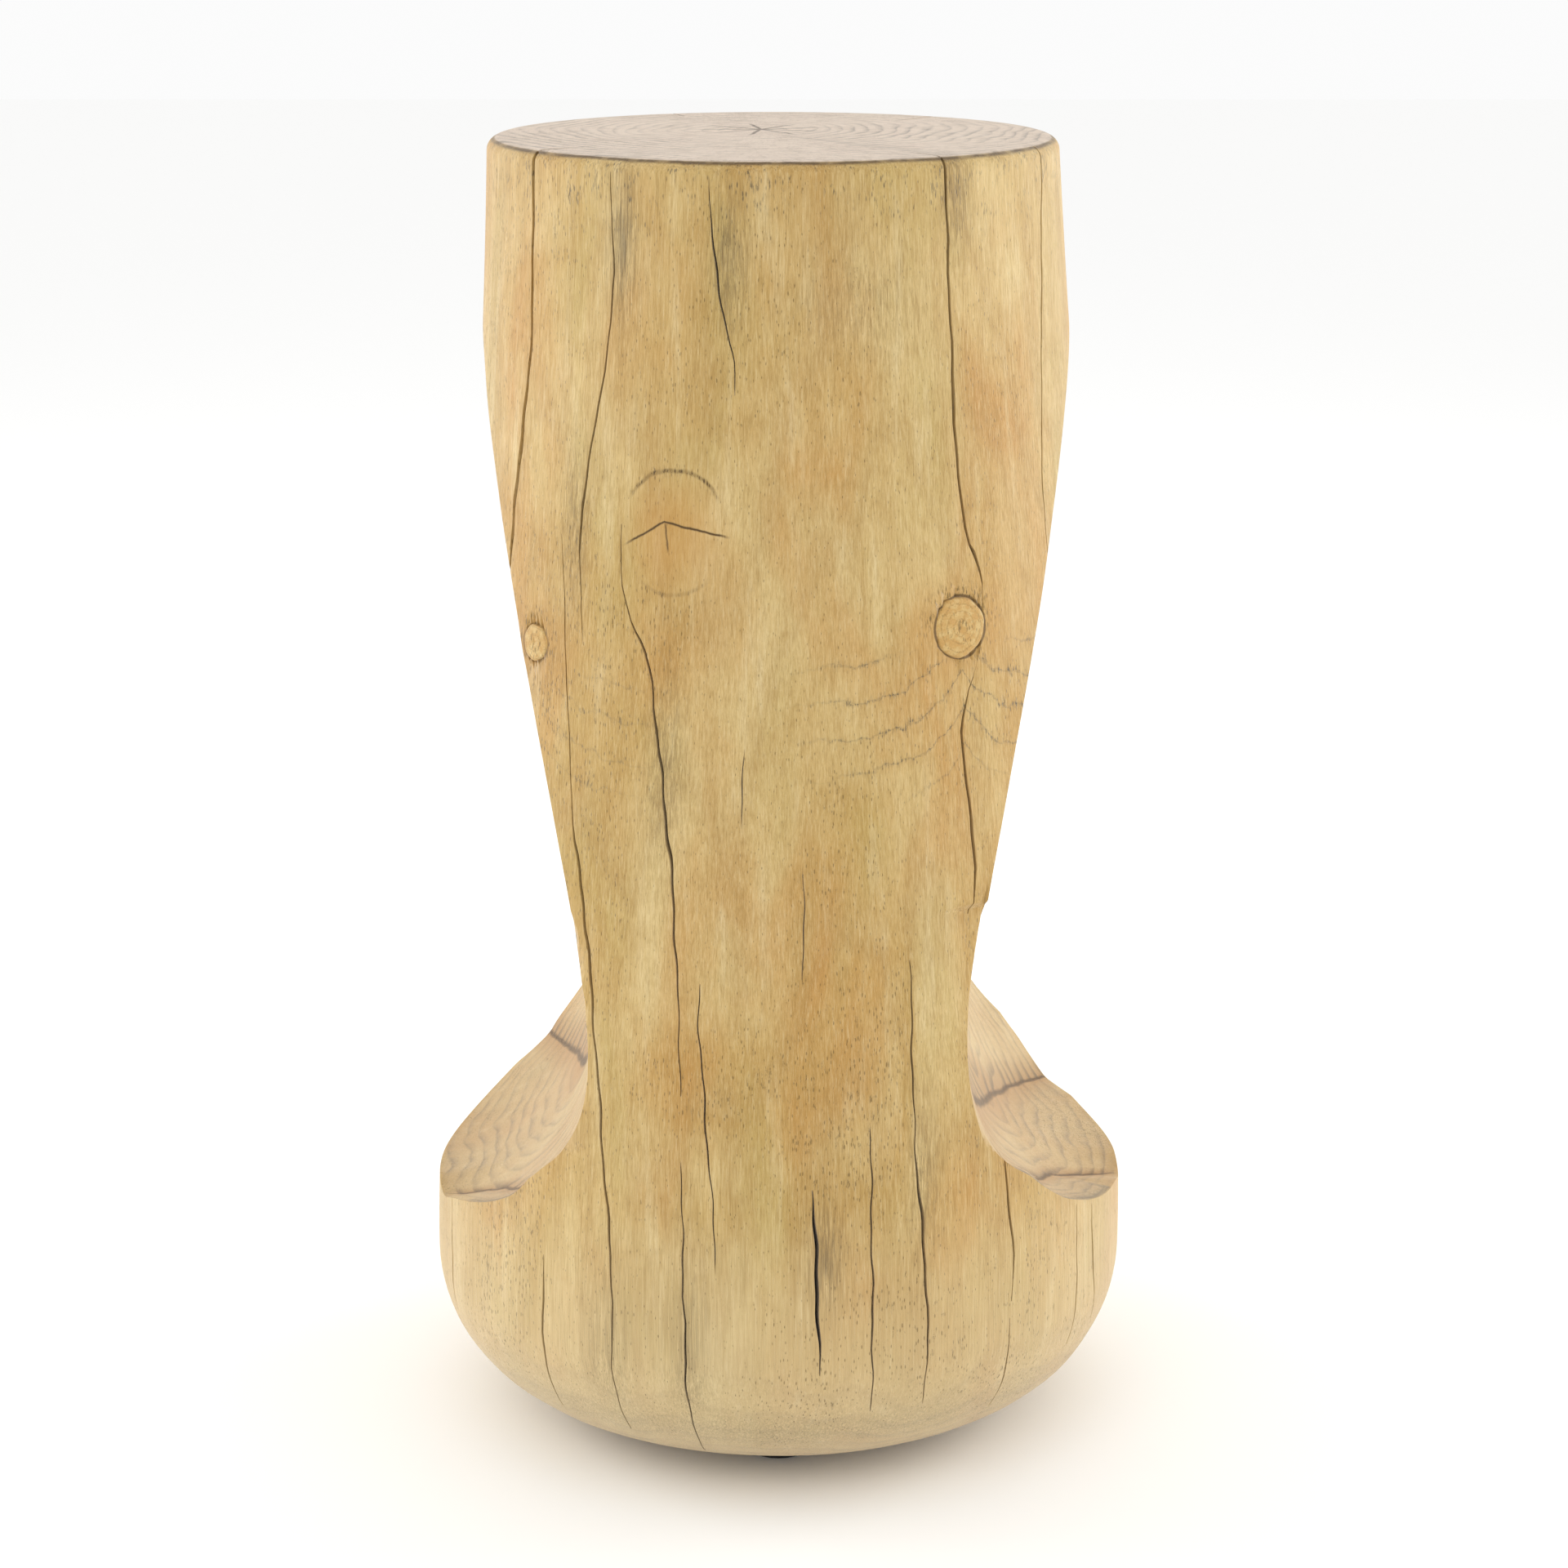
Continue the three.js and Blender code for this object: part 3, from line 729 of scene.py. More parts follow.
def grown_knot_marks(add, mm, mark, wave, speck):
    """Over a knot grown into the wood: an orange middle, oval grain lines over
    and under it, and a three-legged check across it."""
    side, up, _, near = round_knot(add, mm, *mark)
    oval_side = add("Math", add("Math", side, -1.5, operation="ADD"), 1 / 17.5, operation="MULTIPLY")
    oval_up = add("Math", up, 1 / 20, operation="MULTIPLY")
    oval = add("CombineXYZ", oval_side, oval_up, 0.0)
    oval = add("VectorMath", oval, operation="LENGTH", out="Value")
    oval = add("Math", wave, 0.2, oval, operation="MULTIPLY_ADD")
    gap = add("Math", add("Math", oval, -1.02, operation="ADD"), operation="ABSOLUTE")
    ring = add("MapRange", gap, 0.014, 0.05, 1.0, 0.0)
    ring = add("Math", ring, add("MapRange", speck, 0.0, 0.4, 0.45, 1.0), operation="MULTIPLY")
    smear = add("Math", add("MapRange", gap, 0.0, 0.12, 0.5, 0.0), speck, operation="MULTIPLY")
    ring = add("Math", ring, smear, operation="MAXIMUM")
    over = add("MapRange", up, 9.5, 14.5, 0.0, 0.9)
    under = add("MapRange", up, -19.0, -14.0, 0.38, 0.0)
    ring = add("Math", ring, add("Math", over, under, operation="MAXIMUM"), operation="MULTIPLY")
    shifted = add("Math", side, 1.5, operation="ADD")
    left = add("Math", shifted, 0.0, operation="MINIMUM")
    right = add("Math", shifted, 0.0, operation="MAXIMUM")
    legs = add("Math", left, -0.58, add("Math", up, -3.0, operation="ADD"), operation="MULTIPLY_ADD")
    legs = add("Math", right, 0.18, legs, operation="MULTIPLY_ADD")
    legs = add("Math", wave, 2.2, legs, operation="MULTIPLY_ADD")
    leg = add("MapRange", add("Math", legs, operation="ABSOLUTE"), 0.15, 0.6, 1.0, 0.0)
    middle = add("Math", add("Math", side, -2.5, operation="ADD"), operation="ABSOLUTE")
    leg = add("Math", leg, add("MapRange", middle, 14.5, 18.5, 1.0, 0.0), operation="MULTIPLY")
    tick = add("Math", wave, 2.0, add("Math", up, 0.12, add("Math", side, 1.0, operation="ADD"),
                                      operation="MULTIPLY_ADD"), operation="MULTIPLY_ADD")
    tick = add("MapRange", add("Math", tick, operation="ABSOLUTE"), 0.1, 0.5, 0.8, 0.0)
    tall = add("Math", add("Math", up, 1.8, operation="ADD"), operation="ABSOLUTE")
    tick = add("Math", tick, add("MapRange", tall, 3.6, 5.4, 1.0, 0.0), operation="MULTIPLY")
    line = add("Math", add("Math", leg, tick, operation="MAXIMUM"), near, operation="MULTIPLY")
    glow = add("MapRange", oval, 0.2, 1.35, 0.5, 0.0, interpolation_type="SMOOTHSTEP")
    return [(add("Math", glow, near, operation="MULTIPLY"), "orange"),
            (add("Math", ring, near, operation="MULTIPLY"), "groove"), (line, "groove")]


def speckle(add, mm, crowd):
    """Dark dashes and pits that run with the fibres, crisp and in clusters. They
    are drawn 0.5 mm wide, coarser than real pores, so that they show."""
    dash_map = add("Mapping", mm, named={"Scale": (1.0, 1.0, 0.26)})
    dash = add("TexVoronoi", dash_map, named={"Scale": 1.0}, out="Distance")
    size = add("MapRange", crowd, 0.0, 1.0, 0.11, 0.34)
    dash = add("Math", add("Math", size, dash, operation="SUBTRACT"), 9.0, operation="MULTIPLY",
               use_clamp=True)
    grit_map = add("Mapping", mm, named={"Scale": (0.9, 0.9, 0.2), "Location": (7, 3, 5)})
    grit = add("TexNoise", grit_map, named={"Scale": 1.0, "Detail": 5.0, "Roughness": 0.8})
    level = add("MapRange", crowd, 0.0, 1.0, 0.72, 0.52)
    grit = add("Math", add("Math", grit, level, operation="SUBTRACT"), 12.0, operation="MULTIPLY",
               use_clamp=True)
    return add("Math", dash, grit, operation="MAXIMUM")


def log_material():
    """Bare oiled softwood cut from the round. Rings, fibres, rays and pores are
    solid patterns about the pith, so the top shows end grain, the ledges show
    arcs and the sides show stripes. Patterns are scaled in millimetres."""
    material, add = new_material("oiled_softwood_log")
    mm = add("Mapping", add("TexCoord", out="Object"), named={"Scale": (1000, 1000, 1000)})
    split = add("SeparateXYZ", mm, out=None).outputs
    # The pith leans from the middle of the foot to its place in the top.
    x = add("Math", split[2], -PITH_TOP[0] / TOP, split[0], operation="MULTIPLY_ADD")
    y = add("Math", split[2], -PITH_TOP[1] / TOP, split[1], operation="MULTIPLY_ADD")
    flat = add("CombineXYZ", x, y, 0.0)
    reach = add("VectorMath", flat, operation="LENGTH", out="Value")
    around = add("VectorMath", flat, operation="NORMALIZE")

    # Rings about 5 mm apart, pushed about by slow waves, with a dark late edge.
    slow = add("Mapping", mm, named={"Scale": (0.024, 0.024, 0.006)})
    drift = add("TexNoise", slow, named={"Scale": 1.0, "Detail": 1.5})
    wander = add("Math", drift, 22.0, reach, operation="MULTIPLY_ADD")
    ripple = add("TexNoise", mm, named={"Scale": 0.14, "Detail": 2.0})
    wander = add("Math", ripple, 2.2, wander, operation="MULTIPLY_ADD")
    phase = add("Math", add("Math", wander, 1 / RING_SPACING, operation="MULTIPLY"), operation="FRACT")
    late = add("ValToRGB", phase, stops=[(0.0, "#707070"), (0.1, "#000000"), (0.45, "#101010"),
                                         (0.76, "#c0c0c0"), (0.9, "#ffffff"), (1.0, "#a0a0a0")])

    # Hair-fine fibres, fibres 0.6 mm and streaks 5 mm across, long up the log.
    hair = add("TexNoise", add("Mapping", mm, named={"Scale": (3.0, 3.0, 0.05)}),
               named={"Scale": 1.0, "Detail": 3.0, "Roughness": 0.75})
    fine = add("TexNoise", add("Mapping", mm, named={"Scale": (1.4, 1.4, 0.03)}),
               named={"Scale": 1.0, "Detail": 5.0, "Roughness": 0.72})
    broad = add("TexNoise", add("Mapping", mm, named={"Scale": (0.15, 0.15, 0.009)}),
                named={"Scale": 1.0, "Detail": 6.0, "Roughness": 0.62, "Distortion": 0.25})
    patch = add("TexNoise", add("Mapping", mm, named={"Scale": (0.017, 0.017, 0.009)}),
                named={"Scale": 1.0, "Detail": 4.0, "Distortion": 0.8})
    tinge = add("Mapping", mm, named={"Scale": (0.03, 0.03, 0.012), "Location": (40, 9, 3)})
    tinge = add("TexNoise", tinge, named={"Scale": 1.0, "Detail": 3.0, "Distortion": 0.5})
    mottle = add("TexNoise", mm, named={"Scale": 0.12, "Detail": 6.0, "Roughness": 0.7})
    wave = add("TexNoise", mm, named={"Scale": 0.07, "Detail": 6.0, "Roughness": 0.65})
    wave = add("Math", wave, 0.5, operation="SUBTRACT")
    # Rays: thin plates that stand out from the pith, and grey end-grain flecks.
    spin = add("VectorMath", around, (40, 40, 40), operation="MULTIPLY")
    spin = add("SeparateXYZ", spin, out=None).outputs
    along = add("Math", reach, 0.16, add("Math", split[2], 0.05, operation="MULTIPLY"),
                operation="MULTIPLY_ADD")
    rays = add("TexNoise", add("CombineXYZ", spin[0], spin[1], along),
               named={"Scale": 1.0, "Detail": 5.0, "Roughness": 0.7})
    crowd = add("MapRange", add("Math", patch, mottle, operation="ADD"), 0.84, 1.22, 0.12, 0.72)
    speck = speckle(add, mm, crowd)
    dense = speckle(add, mm, 0.92)

    tint = add("ValToRGB", patch, stops=LOG_SHADES["patch"])
    layers = [
        (add("MapRange", tinge, 0.5, 0.72, 0.0, 0.7), "orange"),
        (add("MapRange", tinge, 0.47, 0.30, 0.0, 0.4), "olive"),
        (add("Math", late, 0.22, operation="MULTIPLY"), "late"),
        (add("MapRange", broad, 0.5, 0.72, 0.0, 0.45), "streak"),
        (add("MapRange", broad, 0.45, 0.28, 0.0, 0.4), "pale"),
        (add("MapRange", mottle, 0.5, 0.75, 0.0, 0.35), "streak"),
        (add("MapRange", fine, 0.5, 0.70, 0.0, 0.45), "fibre"),
        (add("MapRange", fine, 0.47, 0.30, 0.0, 0.3), "pale"),
        (add("MapRange", hair, 0.48, 0.70, 0.0, 0.42), "fibre"),
        (add("MapRange", hair, 0.47, 0.30, 0.0, 0.3), "pale"),
    ]
    tint = layered(add, tint, layers)

    # Cut across the fibres the wood is pinker and greyer, and rings stand out.
    across = add("Attribute", attribute_name="across", out="Fac")
    level = add("MapRange", across, 0.9, 1.0, 0.0, 1.0)
    sawn = layered(add, colour(LOG_SHADES["ledge"]), [(level, "end")])
    ring_line = late
    for value, start, end, least, most in ((drift, 0.35, 0.6, 0.35, 1.0), (ripple, 0.35, 0.6, 0.3, 1.0),
                                           (level, 0.0, 1.0, 0.62, 0.8)):
        fade = add("MapRange", value, start, end, least, most)
        ring_line = add("Math", ring_line, fade, operation="MULTIPLY")
    ray = add("Math", add("MapRange", rays, 0.5, 0.7, 0.0, 0.5), level, operation="MULTIPLY")
    blot = add("Math", add("MapRange", mottle, 0.48, 0.7, 0.0, 0.4), level, operation="MULTIPLY")
    end_grain = layered(add, tint, [
        (add("MapRange", level, 0.0, 1.0, 0.55, 0.8), sawn),
        (ray, "end_ray"),
        (blot, "end_ray"),
        (ring_line, "end_line"),
    ])
    # Painted light bounced from the floor: the wood is made paler towards the bottom, up to 110 mm.
    tint = layered(add, tint, [
        (add("MapRange", split[2], 12.0, 110.0, 0.6, 0.0), "foot"),
        (across, end_grain),
        (add("Math", speck, 0.6, operation="MULTIPLY"), "pore"),
    ])

    # Grey wash in streaks and specks, where it has caught in the fibres.
    wash = add("Attribute", attribute_name="wash", out="Fac")
    catch = add("MapRange", fine, 0.42, 0.60, 0.0, 0.8)
    for also in (add("MapRange", hair, 0.45, 0.6, 0.0, 0.7), add("MapRange", wash, 0.6, 1.0, 0.0, 0.7)):
        catch = add("Math", catch, also, operation="MAXIMUM")
    tint = layered(add, tint, [(add("Math", wash, catch, operation="MULTIPLY"), "wash")])

    # Valleys of the ledges: a dark line, with rust on both sides of it and a
    # comb of dark ticks on the rings of its inner side.
    cut = add("Attribute", attribute_name="cut", out="Fac")
    for name, strength, comb in (("inner_valley", 0.95, 9.0), ("outer_valley", 0.9, 4.5)):
        away = add("Attribute", attribute_name=name, out="Fac")
        waved = add("Math", wave, 2.2, away, operation="MULTIPLY_ADD")
        gap = add("Math", waved, operation="ABSOLUTE")
        line = add("MapRange", gap, 0.3, 1.0, strength, 0.0)
        line = add("Math", line, add("MapRange", hair, 0.35, 0.55, 0.6, 1.0), operation="MULTIPLY")
        line = add("Math", line, cut, operation="MULTIPLY")
        halo = add("Math", add("MapRange", gap, 0.0, comb, 0.75, 0.0), cut, operation="MULTIPLY")
        inner = add("MapRange", waved, -1.0, 1.0, 1.0, 0.15)
        ticks = add("Math", halo, add("MapRange", late, 0.1, 0.6, 0.2, 1.0), operation="MULTIPLY")
        ticks = add("Math", ticks, inner, operation="MULTIPLY")
        tint = layered(add, tint, [(halo, "rust"), (ticks, "wash"), (line, "groove")])

    for mark in LOOSE_MARKS:
        tint = layered(add, tint, loose_knot_marks(add, mm, mark, wave, dense))
    for mark in GROWN_MARKS:
        tint = layered(add, tint, grown_knot_marks(add, mm, mark, wave, dense))

    # Star of small checks round the pith of the top, each of its own length.
    bearing = add("Math", y, x, operation="ARCTAN2")
    bent = add("Math", wave, 0.35, operation="MULTIPLY")
    spokes = add("Math", bearing, STAR_CHECKS / (2 * math.pi), bent, operation="MULTIPLY_ADD")
    share = add("Math", add("Math", spokes, operation="FRACT"), -0.5, operation="ADD")
    apart = add("Math", reach, 2 * math.pi / STAR_CHECKS, operation="MULTIPLY")
    gap = add("Math", add("Math", share, operation="ABSOLUTE"), apart, operation="MULTIPLY")
    length = add("Math", spokes, operation="FLOOR")
    length = add("TexWhiteNoise", length, noise_dimensions="1D", out="Value")
    length = add("Math", length, 26.0, 10.0, operation="MULTIPLY_ADD")
    star = add("MapRange", gap, 0.35, 0.9, 0.9, 0.0)
    short = add("Math", add("Math", length, reach, operation="SUBTRACT"), 0.12, operation="MULTIPLY",
                use_clamp=True)
    star = add("Math", star, short, operation="MULTIPLY")
    pith = add("MapRange", reach, 1.2, 3.2, 0.9, 0.0)
    star = add("Math", add("Math", star, pith, operation="MAXIMUM"), level, operation="MULTIPLY")
    tint = layered(add, tint, [(star, "groove")])

    # Grime along the rim, darkest at the front, with specks below it.
    rim = add("Attribute", attribute_name="rim_gap", out="Fac")
    rim = add("Math", add("Math", wave, 2.0, rim, operation="MULTIPLY_ADD"), operation="ABSOLUTE")
    front = add("MapRange", split[1], 70.0, -50.0, 0.35, 1.0)
    line = add("Math", add("MapRange", rim, 0.3, 1.2, 0.9, 0.0), front, operation="MULTIPLY")
    line = add("Math", line, add("MapRange", ripple, 0.3, 0.5, 0.55, 1.0), operation="MULTIPLY")
    under = add("MapRange", split[2], TOP - 30, TOP - 3, 0.0, 0.7)
    under = add("Math", under, add("MapRange", ripple, 0.45, 0.62, 0.0, 1.0), operation="MULTIPLY")
    under = add("Math", under, add("Math", dense, add("Math", 1.0, level, operation="SUBTRACT"),
                                   operation="MULTIPLY"), operation="MULTIPLY")
    # Inside the checks: painted shade with grime, darker the deeper the check goes.
    depth = add("Attribute", attribute_name="grime_and_shade", out="Fac")
    tint = layered(add, tint, [
        (under, "wash"),
        (line, "groove"),
        (add("MapRange", depth, 0.0, 0.5, 0.0, 0.85), "groove"),
        (add("MapRange", depth, 0.4, 1.0, 0.0, 0.9), "grime_and_shade"),
    ])

    relief = add("Math", speck, -0.5, fine, operation="MULTIPLY_ADD")
    relief = add("Math", hair, 0.3, relief, operation="MULTIPLY_ADD")
    bump = add("Bump", named={"Height": relief, "Strength": 0.7, "Distance": 0.0004})
    rough = add("MapRange", fine, 0.3, 0.7, 0.55, 0.75)
    shader = add("BsdfPrincipled", named={
        "Base Color": tint, "Roughness": rough, "IOR": 1.5, "Specular IOR Level": 0.35, "Normal": bump,
        **OIL_SHEEN})
    add("OutputMaterial", shader, out=None)
    return material


def knot_material():
    """Knot of the same oiled wood, cut across: faint broken rings about its own
    middle, specks, and a dark line where grime has caught at its edge."""
    material, add = new_material("oiled_softwood_knot")
    mm = add("Mapping", add("TexCoord", out="Object"), named={"Scale": (1000, 1000, 1000)})
    away = add("Attribute", attribute_name="from_middle", out="Fac")
    mottle = add("TexNoise", mm, named={"Scale": 0.35, "Detail": 6.0, "Roughness": 0.7})
    hair = add("TexNoise", mm, named={"Scale": 1.6, "Detail": 5.0, "Roughness": 0.75})
    crowd = add("MapRange", away, 1.0, 6.0, 0.95, 0.35)
    speck = speckle(add, mm, crowd)
    waved = add("Math", mottle, 2.2, away, operation="MULTIPLY_ADD")
    phase = add("Math", add("Math", waved, 1 / KNOT_RINGS, operation="MULTIPLY"), operation="FRACT")
    ring = add("Math", add("Math", phase, -0.5, operation="ADD"), operation="ABSOLUTE")
    ring = add("MapRange", ring, 0.02, 0.16, 0.75, 0.0)
    ring = add("Math", ring, add("MapRange", hair, 0.4, 0.62, 0.1, 1.0), operation="MULTIPLY")
    tint = add("ValToRGB", mottle, stops=LOG_SHADES["patch"])
    tint = layered(add, tint, [
        (add("MapRange", mottle, 0.4, 0.65, 0.1, 0.5), "orange"),
        (add("MapRange", hair, 0.5, 0.7, 0.0, 0.4), "fibre"),
        (ring, "fibre"),
        (add("Math", speck, 0.8, operation="MULTIPLY"), "pore"),
        (add("Attribute", attribute_name="grime_and_shade", out="Fac"), "groove"),
    ])
    bump = add("Bump", named={"Height": hair, "Strength": 0.5, "Distance": 0.0003})
    shader = add("BsdfPrincipled", named={
        "Base Color": tint, "Roughness": 0.62, "IOR": 1.5, "Specular IOR Level": 0.35, "Normal": bump,
        **OIL_SHEEN})
    add("OutputMaterial", shader, out=None)
    return material


# The foot shade is painted light bounced from the floor, laid low on the log.
LOG_SHADES = {
    "patch": [(0.32, "#d6bb80"), (0.46, "#cdae70"), (0.58, "#c4a05e"), (0.72, "#d0b276")],
    "orange": "#c08a40", "olive": "#b09a52", "late": "#a17c44", "streak": "#ae8846", "fibre": "#96743a",
    "pale": "#e6d3a4", "pore": "#6b5524", "end": "#dfcebf", "ledge": "#cbb592", "end_ray": "#a8927c",
    "end_line": "#7d6e60", "foot": "#dfcda6", "wash": "#5e5542", "rust": "#b08452", "groove": "#533b16",
    "grime_and_shade": "#241708",
}
# Knots seen on the log's side: angle, height, and for the loose ones the radius
# and how strongly the figure round them shows
LOOSE_MARKS = [(*RING_KNOT[1:], 0.95), (*PIN_KNOT[1:], 0.45)]
GROWN_MARKS = [(-109.7, UNDERSIDE + 332.2), (66.0, UNDERSIDE + 240)]
KNOT_RINGS = 2.6            # spacing of the rings inside a loose knot
STAR_CHECKS = 9
OIL_SHEEN = {"Sheen Weight": 0.3, "Sheen Roughness": 0.45, "Sheen Tint": colour("#fffaf4")}
log_wood = log_material()
knot_wood = knot_material()


def rubber_material():
    """Moulded black rubber: dull, faintly mottled, with fine moulding texture."""
    material, add = new_material("moulded_rubber")
    mottle = add("TexNoise", add("TexCoord", out="Object"), named={"Scale": 900.0, "Detail": 4.0})
    tint = add("ValToRGB", mottle, stops=[(0.3, "#161617"), (0.7, "#242425")])
    bump = add("Bump", named={"Height": mottle, "Strength": 0.35, "Distance": 0.0002})
    shader = add("BsdfPrincipled", named={
        "Base Color": tint, "Roughness": 0.72, "IOR": 1.52, "Normal": bump})
    add("OutputMaterial", shader, out=None)
    return material


def steel_material():
    """Bright zinc-plated steel: a metal with a fine mottle from the plating bath."""
    material, add = new_material("zinc_plated_steel")
    marks = add("TexNoise", add("TexCoord", out="Object"), named={"Scale": 2200.0, "Detail": 3.0})
    tint = add("ValToRGB", marks, stops=[(0.3, "#a9abad"), (0.7, "#c6c8ca")])
    rough = add("MapRange", marks, named={"To Min": 0.24, "To Max": 0.42})
    shader = add("BsdfPrincipled", named={"Base Color": tint, "Roughness": rough, "Metallic": 1.0})
    add("OutputMaterial", shader, out=None)
    return material


rubber = rubber_material()
steel = steel_material()

# ---- Log --------------------------------------------------------------------------

places, in_check, wash, valleys, cut, across, rim_gap = log_surface()
places = sink_sockets(places)
in_check = np.clip(in_check / GRIME_AND_SHADE_FULL, 0, 1)
log_piece = closed_surface("log_carving", places, (0, 0, UNDERSIDE), (0, 0, TOP), log_wood, sharp=38)
for name, values, pole in (("grime_and_shade", in_check, 0), ("wash", wash, 0), ("cut", cut, 0),
                           ("across", across, 1), ("rim_gap", rim_gap, FAR),
                           ("inner_valley", valleys[0], FAR), ("outer_valley", valleys[1], FAR)):
    add_values(log_piece, name, np.concatenate([values.ravel(), [pole, pole]]))
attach(log_piece, "root")
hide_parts("carved_log")


def knot_piece(knot):
    """Knot: a face of fine rings that follows the log's surface, a rounded
    shoulder, and a body that tapers towards the pith."""
    name, _, _, radius = knot
    depth, taper = KNOT_DEPTHS[name]
    middle, sideways, up, outward = knot_frame(knot)
    turn = np.linspace(0, 2 * math.pi, 72, endpoint=False)[None, :]
    share = np.linspace(0, 1, 26)[1:, None]
    reach = share * (radius - 0.1) * (1 + 0.03 * np.sin(3 * turn + 1) + 0.02 * np.sin(7 * turn))
    bearing = np.cos(turn)[..., None] * sideways + np.sin(turn)[..., None] * up
    flat = middle + reach[..., None] * bearing
    face_turn = np.arctan2(flat[..., 1], flat[..., 0])
    surface = carved_radius(face_turn, flat[..., 2]) + worn_wave(face_turn, flat[..., 2])
    dome = 0.35 * np.cos(share * math.pi / 2) + 0.4 - 1.3 * np.clip((share - 0.9) / 0.1, 0, 1) ** 2
    pits = -0.3 * np.exp(-(reach / (0.16 * radius)) ** 2)
    height = surface + dome + pits
    face = turned(height, face_turn, flat[..., 2])
    down = np.linspace(0, 1, 10)[1:, None]
    rim = face[-1:] - middle
    inward = rim @ outward
    level = (rim @ sideways)[..., None] * sideways + (rim @ up)[..., None] * up
    body_scale = (1 - down * (1 - taper / radius))[..., None]
    body_depth = (inward * (1 - down) - down * depth)[..., None]
    body = middle + level * body_scale + body_depth * outward
    rows = np.concatenate([body[::-1], face[::-1]])
    top_pole = middle + (float(surface[0, 0]) - math.hypot(middle[0], middle[1]) + 0.45) * outward
    low_pole = middle - depth * outward
    piece = closed_surface(f"{name}_wood", rows, low_pole, top_pole, knot_wood, sharp=50)
    edge = 0.75 * np.clip((share - 0.95) / 0.04, 0, 1)
    for label, at_face, in_body in (("grime_and_shade", edge, 1), ("from_middle", share * radius, radius)):
        rows = np.concatenate([np.full(body.shape[:2], in_body), (at_face + 0 * turn)[::-1]])
        add_values(piece, label, np.concatenate([rows.ravel(), [in_body, 0]]))
    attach(piece, "root")
    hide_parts(name)


knot_piece(RING_KNOT)
knot_piece(PIN_KNOT)

# ---- Feet -------------------------------------------------------------------------


def turned_ring(name, section, centre, material):
    """Closed ring turned about an upright line, from (radius, height) corners
    that go round its section and close on themselves."""
    segments = 64
    turn = np.linspace(0, 2 * math.pi, segments, endpoint=False)
    vertices = turned(section[:, :1], turn, section[:, 1:], centre).reshape(-1, 3)
    faces = np.array(grid_faces(len(section) + 1, segments)) % len(vertices)
    return make_mesh(name, vertices, faces.tolist(), material, sharp=40)


def rounded(corners, radius, steps=5):
    """Closed section with every corner cut to a small round of the radius given."""
    corners = np.array(corners, float)
    before = np.roll(corners, 1, axis=0)
    after = np.roll(corners, -1, axis=0)
    to_before = np.linalg.norm(before - corners, axis=1)[:, None]
    to_after = np.linalg.norm(after - corners, axis=1)[:, None]
    size = np.minimum(radius, 0.45 * np.minimum(to_before, to_after))
    start = corners + (before - corners) / to_before * size
    end = corners + (after - corners) / to_after * size
    t = np.linspace(0, 1, steps)[None, :, None]
    curve = (1 - t) ** 2 * start[:, None] + 2 * t * (1 - t) * corners[:, None] + t ** 2 * end[:, None]
    return curve.reshape(-1, 2)


def foot_pieces(label):
    """Rubber foot, washer and screw in the room that the frame gives them."""
    low, high = (np.array(corner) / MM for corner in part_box(f"foot_pad_{label}"))
    centre = (low + high) / 2
    radius, top = (high[0] - low[0]) / 2, high[2]
    washer_low, washer_high = (np.array(corner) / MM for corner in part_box(f"foot_washer_{label}"))
    washer_radius = (washer_high[0] - washer_low[0]) / 2
    screw_low, screw_high = (np.array(corner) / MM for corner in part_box(f"foot_screw_{label}"))
    head = (screw_high[0] - screw_low[0]) / 2
    pocket = washer_radius + POCKET_GAP
    shelf = washer_high[2] + SEAT_GAP
    section = rounded([(pocket, 0), (radius - 1.2, 0), (radius, 1.4), (radius - 0.4, top),
                       (SCREW_BORE, top), (SCREW_BORE, shelf), (pocket, shelf)], 0.6)
    pad = turned_ring(f"pad_{label}", section, centre, rubber)
    section = rounded([(SCREW_BORE, washer_low[2]), (washer_radius, washer_low[2]),
                       (washer_radius, washer_high[2]), (SCREW_BORE, washer_high[2])], 0.15, 4)
    washer = turned_ring(f"washer_{label}", section, centre, steel)

    # Screw: domed head with a cross recess, and a thread that winds up the shank.
    turn = np.linspace(0, 2 * math.pi, 48, endpoint=False)[None, :]
    share = np.linspace(0, 1, 16)[1:, None]
    cap_r = head * np.sin(share * math.pi / 2)
    cap_z = screw_low[2] + 1.35 * (1 - np.cos(share * math.pi / 2)) ** 0.9
    cross = np.minimum(np.abs(np.sin(turn)), np.abs(np.cos(turn))) * cap_r
    arms = np.clip((0.55 - cross) / 0.2, 0, 1) * np.clip((2.2 - cap_r) / 0.35, 0, 1)
    cap = turned(cap_r, turn, cap_z + RECESS_DEPTH * arms, centre)
    head_top = washer_low[2] - SEAT_GAP
    rim = turned(head, turn, head_top, centre)
    shank_z = np.linspace(head_top, screw_high[2] - 0.1, 150)[:, None]
    point = np.clip((screw_high[2] - shank_z) / SCREW_TAPER, 0.02, 1)
    climb = np.clip((shank_z - head_top - 3.0) / 1.0, 0, 1)
    wave = np.abs(((shank_z / THREAD_PITCH - turn / (2 * math.pi)) % 1) - 0.5) * 2
    shank_r = point * (SHANK_RADIUS - THREAD_DEPTH * climb * (1 - wave))
    shank = turned(shank_r, turn, shank_z, centre)
    rows = np.concatenate([cap, rim, shank])
    screw = closed_surface(f"screw_{label}", rows, (centre[0], centre[1], screw_low[2] + RECESS_DEPTH),
                           (centre[0], centre[1], screw_high[2]), steel, sharp=40)
    for piece, part, slot in ((pad, "foot_pad", "foot_rubber"), (washer, "foot_washer", "fixing_steel"),
                              (screw, "foot_screw", "fixing_steel")):
        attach(piece, "root")
        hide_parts(f"{part}_{label}")


for label in ("front", "right", "back", "left"):
    foot_pieces(label)

# ---- Studio -----------------------------------------------------------------------


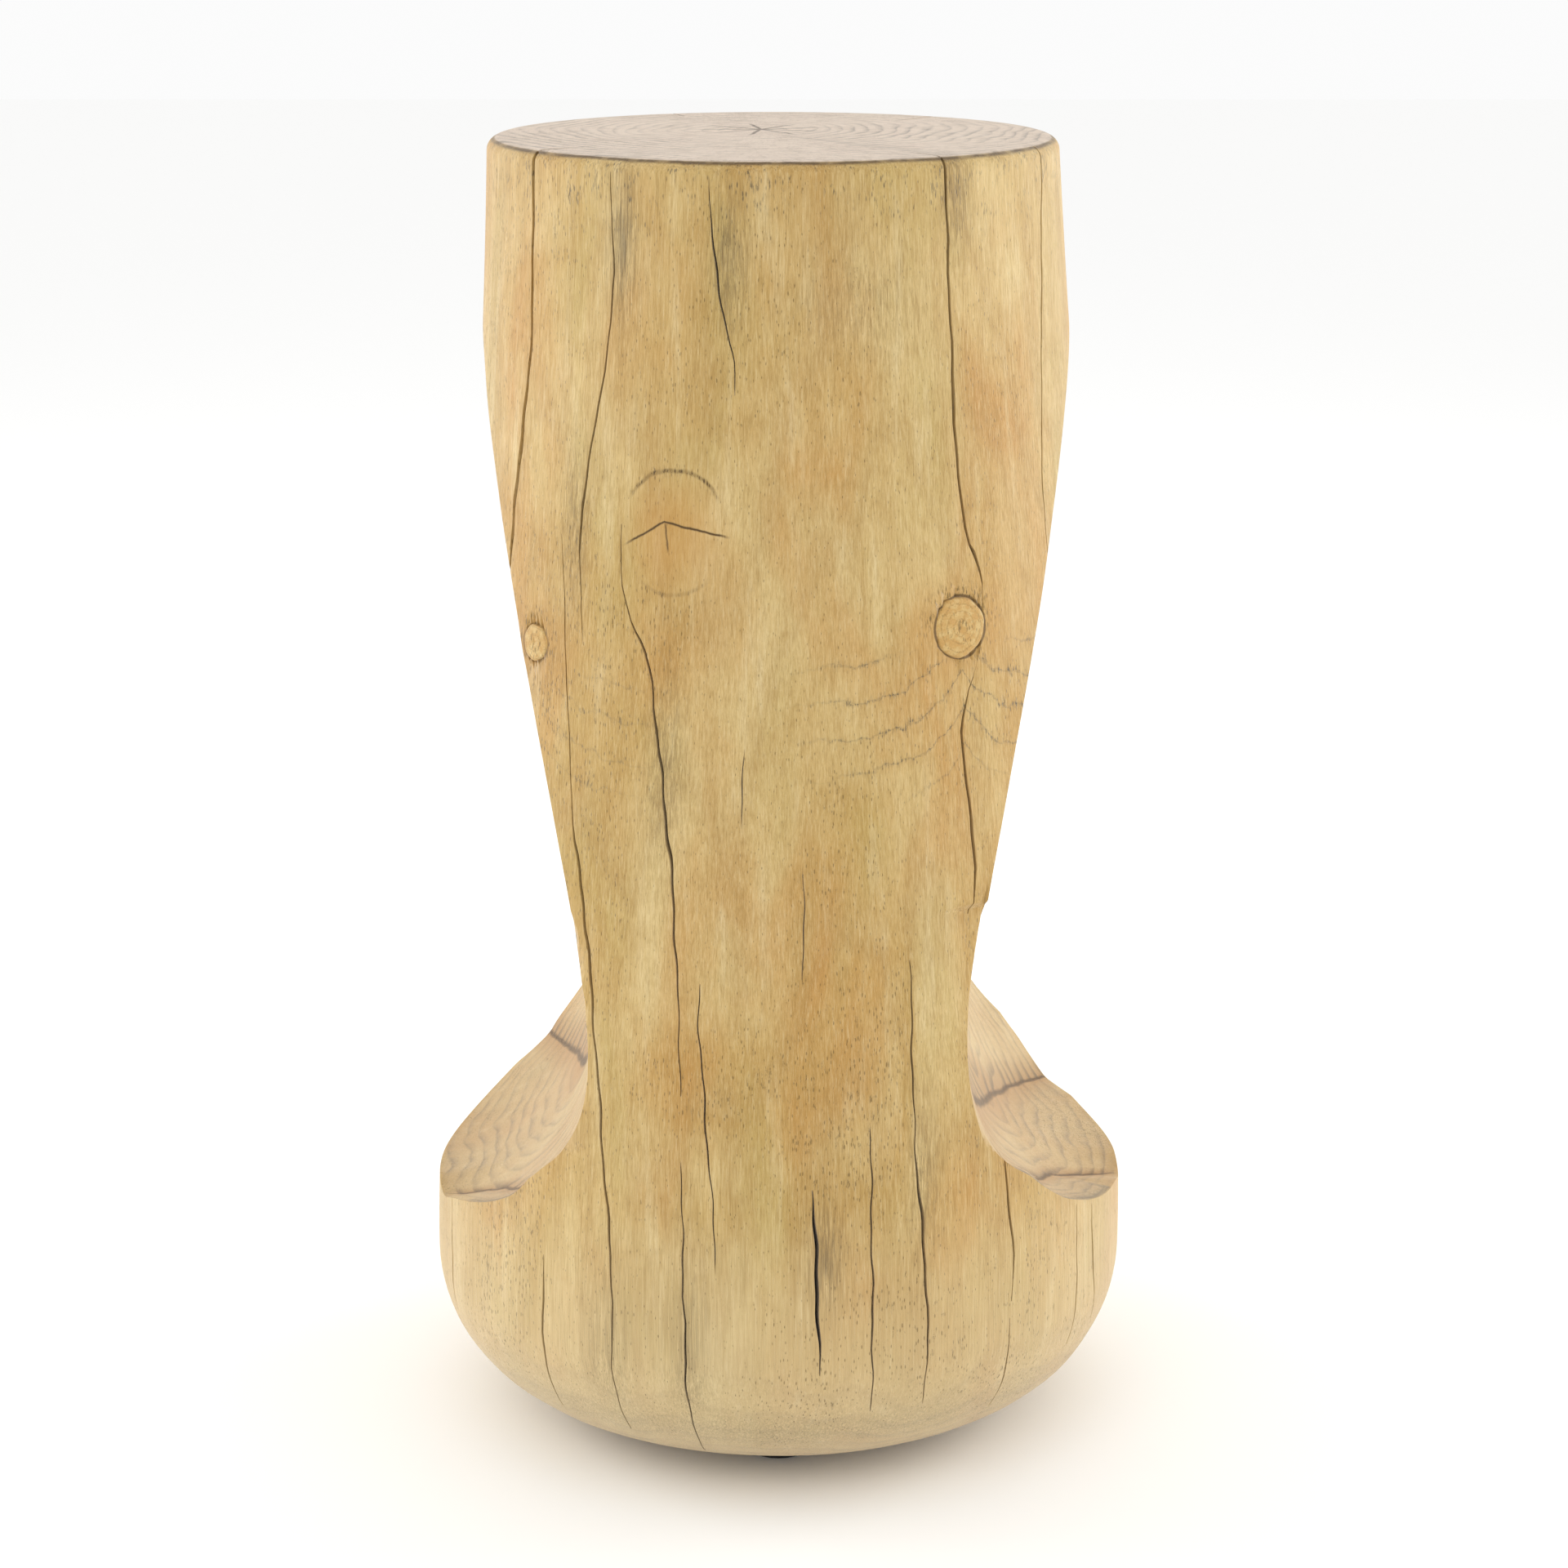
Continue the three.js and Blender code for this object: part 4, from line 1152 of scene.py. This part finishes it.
def studio():
    """Pale floor, a pale sky, four large soft lamps and the camera."""
    floor_mesh = bpy.data.meshes.new("studio_floor")
    corners = [(x * FLOOR_HALF, y * FLOOR_HALF, 0) for x, y in ((-1, -1), (1, -1), (1, 1), (-1, 1))]
    floor_mesh.from_pydata(corners, [], [(0, 1, 2, 3)])
    # Matt white paint, rolled on flat: rough, so that the floor gives no glints.
    material, add = new_material("matt_white_floor")
    shader = add("BsdfPrincipled", named={"Base Color": colour("#fdfdfc"), "Roughness": 0.9})
    add("OutputMaterial", shader, out=None)
    floor_mesh.materials.append(material)
    floor = bpy.data.objects.new("studio_floor", floor_mesh)
    bpy.context.scene.collection.objects.link(floor)

    world = bpy.data.worlds.new("studio_sky")
    bpy.context.scene.world = world
    world.use_nodes = True
    sky = world.node_tree.nodes["Background"]
    sky.inputs["Color"].default_value = colour("#ffffff")
    sky.inputs["Strength"].default_value = SKY_STRENGTH

    # Each lamp: name, place, width in metres, watts.
    lamps = [
        ("key_lamp", (-0.9, -1.6, 1.7), 1.2, 2.2),
        ("fill_lamp", (1.7, -0.9, 1.0), 1.3, 1.6),
        ("left_edge_lamp", (-1.6, 0.5, 0.5), 1.2, 14),
        ("right_edge_lamp", (1.6, 0.6, 0.5), 1.2, 14),
    ]
    for name, spot, wide, power in lamps:
        light = bpy.data.lights.new(name, "AREA")
        light.shape = "DISK"
        light.size = wide
        light.energy = power
        lamp = bpy.data.objects.new(name, light)
        lamp.location = spot
        aim = np.array(LAMP_AIM) - np.array(spot)
        yaw = math.atan2(aim[1], aim[0])
        pitch = math.atan2(-aim[2], math.hypot(aim[0], aim[1]))
        lamp.rotation_euler = (math.pi / 2 - pitch, 0, yaw - math.pi / 2)
        bpy.context.scene.collection.objects.link(lamp)

    lens = bpy.data.cameras.new("studio_camera")
    lens.sensor_width = SENSOR_MM
    lens.lens = LENS_MM
    camera = bpy.data.objects.new("studio_camera", lens)
    camera.location = CAMERA_PLACE
    camera.rotation_euler = (math.radians(90 - CAMERA_TILT), 0, 0)
    bpy.context.scene.collection.objects.link(camera)
    bpy.context.scene.camera = camera


studio()
bpy.context.scene.view_settings.view_transform = "Standard"
